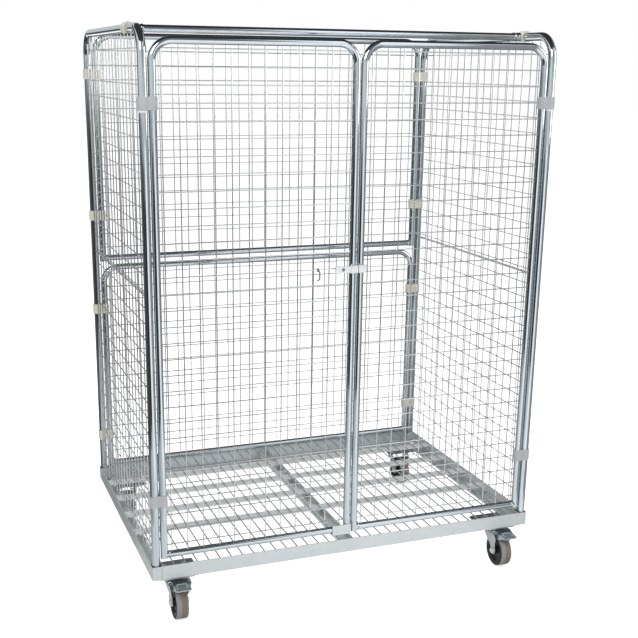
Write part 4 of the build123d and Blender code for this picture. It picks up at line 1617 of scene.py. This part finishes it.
    def _pedal_trim(self) -> None:
        """Bright rib and rolled lip of the pedal's plate, and the cheeks under its sides."""
        low = self.pedal_low
        bright = Shape()
        edge = self.pedal_half - self.lip_inset
        front = self.lip_inset - self.pedal_length
        rib_level = self.pedal_high - self.rib_sunk
        bends = ((self.rib_half, *self.rib_span, rib_level, self.rib_bend, self.rib_radius),
                 (edge, self.lip_start, front, low + self.lip_inset, self.pedal_round, self.lip_radius))
        for half, start, turn, level, bend, radius in bends:
            corners = ((-half, start), (-half, turn), (half, turn), (half, start))
            path = [self._on_pedal(x, y, level) for x, y in corners]
            bright.tube(bent_path(path, bend * MM, steps=8), radius * MM, TRIM_SIDES)
        self._piece(bright, "pedal_rib", CASTOR_ZINC, "pedal")
        cheeks = Shape()
        cheek = [(-3.0, low - 0.2), (-3.0, -1.0), (8.0, -2.0), (10.0, -15.0), (2.0, -19.0), (-12.0, -18.0),
                 (-24.0, -12.5), (-44.0, 2.0), (4.0 - self.pedal_length, low - 0.2)]
        for x in (-self.pedal_half, self.pedal_half - self.pedal_cheek):
            place = placed(self._on_pedal(x, 0, 0), self._tilt() @ Y, self._tilt() @ Z)
            cheeks.prism(cheek, place, self.pedal_cheek)
        self._piece(cheeks, "pedal_cheeks", CASTOR_ZINC, "pedal", bevel=0.3)


# Studio

@dataclass(frozen=True)
class Cove:
    """A dull part of the surroundings, swept round the container.

    Attributes:
        start: First direction in degrees, from the right towards the rear.
        end: Last direction.
        shade: Grey of the surface.
        profile: Distance from the middle and level of its points, in millimetres.
    """

    start: float
    end: float
    shade: float
    profile: tuple[Point2, ...]


def swept(profile: tuple[Point2, ...], *sectors: tuple[float, float, float]) -> list[Cove]:
    """Coves of one profile, from the start, the end and the grey of each."""
    return [Cove(start, end, shade, profile) for start, end, shade in sectors]


NEAR = 1500.0
FAR = 6000.0
SIDE_COVE = ((NEAR, 3.0), (FAR, 3.0), (FAR, 4200.0))
RIGHT_COVE = ((1350.0, 3.0), (FAR, 3.0), (FAR, 5200.0))
NEAR_FLOOR = ((50.0, 2.0), (NEAR, 2.0))
FRONT_FLOOR = ((NEAR, 3.0), (FAR, 3.0), (FAR, 1300.0))
EYE_WALL = ((FAR, 1300.0), (FAR, 1950.0))
HIGH_WALL = ((FAR, 1950.0), (FAR, 5600.0))
REAR_WALL = ((FAR, 1850.0), (FAR, 5600.0))
REAR_EYE_WALL = ((FAR, 1050.0), (FAR, 1850.0))
WALL_LEVELS = (850.0, 1150.0, 1450.0, 4200.0)

# First and last direction, reach of the near floor, and greys from the near floor up to the high wall
SIDE_SECTORS = ((152.0, 172.0, 2300.0, (0.08, 0.24, 0.22, 0.26, 0.60)),
                (172.0, 206.0, 2250.0, (0.22, 0.06, 0.12, 0.34, 0.92)),
                (206.0, 228.0, 2400.0, (0.65, 0.08, 0.10, 0.45, 0.88)),
                (228.0, 256.0, 2600.0, (0.80, 0.02, 0.28, 0.75, 0.92)))


def side_coves() -> list[Cove]:
    """Surroundings at the left and towards the camera.

    Returns:
        Cards that are pale near the container, dark beyond and pale again high up.
    """
    coves = []
    walls = [((FAR, low), (FAR, high)) for low, high in zip(WALL_LEVELS, WALL_LEVELS[1:])]
    for start, end, reach, shades in SIDE_SECTORS:
        floors = [((NEAR, 3.0), (reach, 3.0)), ((reach, 3.0), (FAR, 3.0), (FAR, WALL_LEVELS[0]))]
        coves += [Cove(start, end, shade, profile) for shade, profile in zip(shades, floors + walls)]
    return coves


COVES = tuple(swept(RIGHT_COVE, (-60.0, -15.0, 0.38), (-15.0, 45.0, 0.22), (45.0, 82.0, 0.04))
              + swept(SIDE_COVE, (112.0, 152.0, 0.07))
              + side_coves()
              + swept(EYE_WALL, (256.0, 300.0, 0.75))
              + swept(HIGH_WALL, (256.0, 286.0, 0.20), (286.0, 289.0, 0.60), (289.0, 300.0, 1.50))
              + swept(FRONT_FLOOR, (256.0, 300.0, 1.30))
              + swept(REAR_WALL, (82.0, 112.0, 0.66))
              + swept(REAR_EYE_WALL, (82.0, 112.0, 0.07))
              + swept(NEAR_FLOOR, (75.0, 130.0, 0.85), (130.0, 172.0, 0.12), (172.0, 206.0, 0.62),
                      (206.0, 250.0, 0.92), (250.0, 285.0, 1.05), (285.0, 314.0, 1.15), (314.0, 332.0, 0.70),
                      (332.0, 352.0, 0.40), (352.0, 435.0, 0.25)))

# Left, right, front and rear edge and grey of each card on the ceiling
CEILINGS = ((-5000.0, 1500.0, -6000.0, -3700.0, 0.2),
            (1500.0, 5000.0, -6000.0, -3700.0, 1.3),
            (-5000.0, 5000.0, -3700.0, 6000.0, 0.05))

# Name, place in millimetres, size in metres, power in watts and whether reflections show it
LAMPS = (("key", (-2600.0, -3200.0, 3600.0), 1.8, 72.0, True),
         ("fill", (3400.0, -1800.0, 2200.0), 1.8, 34.0, True),
         ("top", (0.0, 300.0, 4600.0), 1.6, 42.0, False))


@dataclass
class Studio:
    """Pale floor, soft light and the camera of the photograph.

    Attributes:
        image_side: Width and height of the photograph in pixels.
        focal: Focal length in pixels.
        principal: Pixel that the camera's axis meets.
        eye: Place of the camera, in millimetres from the middle of the base.
        yaw: Turn of the view to the right of straight ahead, in degrees.
        pitch: Downward tilt in degrees.
        roll: Roll in degrees.
        sensor: Width of the camera's sensor in millimetres.
        floor_size: Half the width of the floor in metres.
        floor_grey: Grey of the floor.
        floor_rough: Roughness of the floor.
        floor_lift: Strength of the white that the camera and metal see on the floor.
        world_levels: Strength of the surroundings as light and as background.
        aim_level: Level that the lamps point at.
        ceiling_level: Level of the ceiling cards.
        cove_step: Largest turn of one face of a cove, in degrees.
        cove_tint: Colour of a cove for a grey of 1.
    """

    image_side: float = 638.0
    focal: float = 1065.9
    principal: Point2 = (302.3, 365.0)
    eye: tuple[float, float, float] = (-1258.0, -3345.0, 1652.0)
    yaw: float = 20.51
    pitch: float = 15.68
    roll: float = -0.65
    sensor: float = 36.0
    floor_size: float = 30.0
    floor_grey: float = 0.86
    floor_rough: float = 0.9
    floor_lift: float = 0.68
    world_levels: Point2 = (0.55, 1.0)
    aim_level: float = 900.0
    ceiling_level: float = 5600.0
    cove_step: float = 10.0
    cove_tint: Colour = (0.96, 1.0, 1.02)

    def build(self) -> None:
        """Set up camera, floor, world and lights."""
        self._camera()
        self._floor()
        self._world()
        self._lamps()
        self._coves()
        bpy.context.scene.view_settings.view_transform = "Standard"

    def _camera(self) -> None:
        """Camera that sees the container as the photograph does."""
        yaw = math.radians(self.yaw)
        pitch = math.radians(self.pitch)
        roll = math.radians(self.roll)
        ahead = Vector((math.sin(yaw) * math.cos(pitch), math.cos(yaw) * math.cos(pitch), -math.sin(pitch)))
        level = Vector((math.cos(yaw), -math.sin(yaw), 0.0))
        down = ahead.cross(level)
        right = level * math.cos(roll) + down * math.sin(roll)
        under = down * math.cos(roll) - level * math.sin(roll)
        data = bpy.data.cameras.new("photo_camera")
        data.sensor_width = self.sensor
        data.lens = self.focal / self.image_side * self.sensor
        data.shift_x = (self.image_side / 2 - self.principal[0]) / self.image_side
        data.shift_y = (self.principal[1] - self.image_side / 2) / self.image_side
        turn = Matrix((right, -under, -ahead)).transposed().to_4x4()
        turn.translation = at(*self.eye)
        camera = linked("photo_camera", data)
        camera.matrix_world = turn
        bpy.context.scene.camera = camera

    @staticmethod
    def _surface(name: str, base: Colour, glow: Colour) -> bpy.types.Material:
        """Plain material without gloss, for what stands round the container.

        Args:
            name: Name of the material.
            base: Colour of the surface.
            glow: Colour that it gives off.

        Returns:
            The material.
        """
        material = bpy.data.materials.new(name)
        material.use_nodes = True
        shader = material.node_tree.nodes["Principled BSDF"]
        shader.inputs["Base Color"].default_value = (*base, 1.0)
        shader.inputs["Specular IOR Level"].default_value = 0.0
        shader.inputs["Emission Color"].default_value = (*glow, 1.0)
        shader.inputs["Emission Strength"].default_value = 1.0
        return material

    @staticmethod
    def _seen(tree: Nodes) -> Socket:
        """Mask of the rays that look at the background: camera, glossy and transmission rays.

        Args:
            tree: Nodes to add to.

        Returns:
            Socket of the mask.
        """
        rays = tree.nodes.new("ShaderNodeLightPath").outputs
        direct = joined(tree, "MAXIMUM", rays["Is Camera Ray"], rays["Is Glossy Ray"])
        return joined(tree, "MAXIMUM", direct, rays["Is Transmission Ray"])

    def _floor(self) -> None:
        """Plain pale floor that keeps the shadow and shows white to the camera and to metal."""
        shape = bmesh.new()
        bmesh.ops.create_grid(shape, x_segments=8, y_segments=8, size=self.floor_size)
        data = bpy.data.meshes.new("studio_floor")
        shape.to_mesh(data)
        shape.free()
        floor = linked("studio_floor", data)
        grey = self.floor_grey
        material = self._surface("pale_floor", (grey, grey, grey), (1.0, 1.0, 1.0))
        tree = material.node_tree
        shader = tree.nodes["Principled BSDF"]
        shader.inputs["Roughness"].default_value = self.floor_rough
        lift = joined(tree, "MULTIPLY", self._seen(tree), self.floor_lift)
        tree.links.new(lift, shader.inputs["Emission Strength"])
        data.materials.append(material)

    def _world(self) -> None:
        """White surroundings, a little dimmer as light than as background."""
        world = bpy.data.worlds.new("studio_world")
        bpy.context.scene.world = world
        world.use_nodes = True
        tree = world.node_tree
        background = tree.nodes["Background"]
        background.inputs["Color"].default_value = (1.0, 1.0, 1.0, 1.0)
        strength = ramped(tree, self._seen(tree), target=self.world_levels)
        tree.links.new(strength, background.inputs["Strength"])

    def _lamps(self) -> None:
        """A broad key from the front left, a fill from the right and a soft top light."""
        middle = at(0, 0, self.aim_level)
        for name, place, size, power, reflected in LAMPS:
            data = bpy.data.lights.new(f"{name}_light", "AREA")
            data.shape = "SQUARE"
            data.size = size
            data.energy = power
            lamp = linked(f"{name}_light", data)
            lamp.location = at(*place)
            lamp.rotation_euler = (middle - lamp.location).to_track_quat("-Z", "Y").to_euler()
            lamp.visible_glossy = reflected

    def _coves(self) -> None:
        """Dull surroundings on floor, walls and ceiling, which only reflections show."""
        for i, cove in enumerate(COVES):
            steps = math.ceil((cove.end - cove.start) / self.cove_step)
            turns = [cove.start + (cove.end - cove.start) * k / steps for k in range(steps + 1)]
            points = [Matrix.Rotation(math.radians(turn), 3, "Z") @ Vector((r, 0.0, z))
                      for turn in turns for r, z in cove.profile]
            row = len(cove.profile)
            corners = [row * k + j for k in range(steps) for j in range(row - 1)]
            faces = [(c, c + 1, c + row + 1, c + row) for c in corners]
            self._card(f"cove_{i}", points, faces, cove.shade)
        for i, (left, right, front, rear, shade) in enumerate(CEILINGS):
            points = [Vector((x, y, self.ceiling_level))
                      for x, y in ((left, front), (right, front), (right, rear), (left, rear))]
            self._card(f"ceiling_{i}", points, [(0, 1, 2, 3)], shade)

    def _card(self, name: str, points: Sequence[Vector], faces: Sequence[Sequence[int]],
              shade: float) -> None:
        """Add one card that only glossy rays meet.

        Args:
            name: Name of the card.
            points: Its points in millimetres.
            faces: Its faces as numbers of points.
            shade: Grey of its surface.
        """
        data = bpy.data.meshes.new(name)
        data.from_pydata([at(*point) for point in points], [], faces)
        glow = tuple(tint * shade for tint in self.cove_tint)
        data.materials.append(self._surface(f"{name}_grey", (0.0, 0.0, 0.0), glow))
        card = linked(name, data)
        card.visible_camera = False
        card.visible_diffuse = False
        card.visible_shadow = False
        card.visible_transmission = False


# Places of the castors' swivel axes
CASTOR_X = 565.0
CASTOR_Y = 398.0


def main() -> None:
    """Build the container and its studio."""
    logging.basicConfig(level=logging.INFO)
    assemblies = [BaseFrame(), Cage(), Doors()]
    for x, y in CORNERS:
        corner = ("front_" if y < 0 else "rear_") + ("left" if x < 0 else "right")
        assemblies.append(Castor(corner, x * CASTOR_X, y * CASTOR_Y, y < 0))
    assemblies.append(Studio())
    for assembly in assemblies:
        assembly.build()
        log.info("finished %s", type(assembly).__name__)


if __name__ == "__main__":
    main()
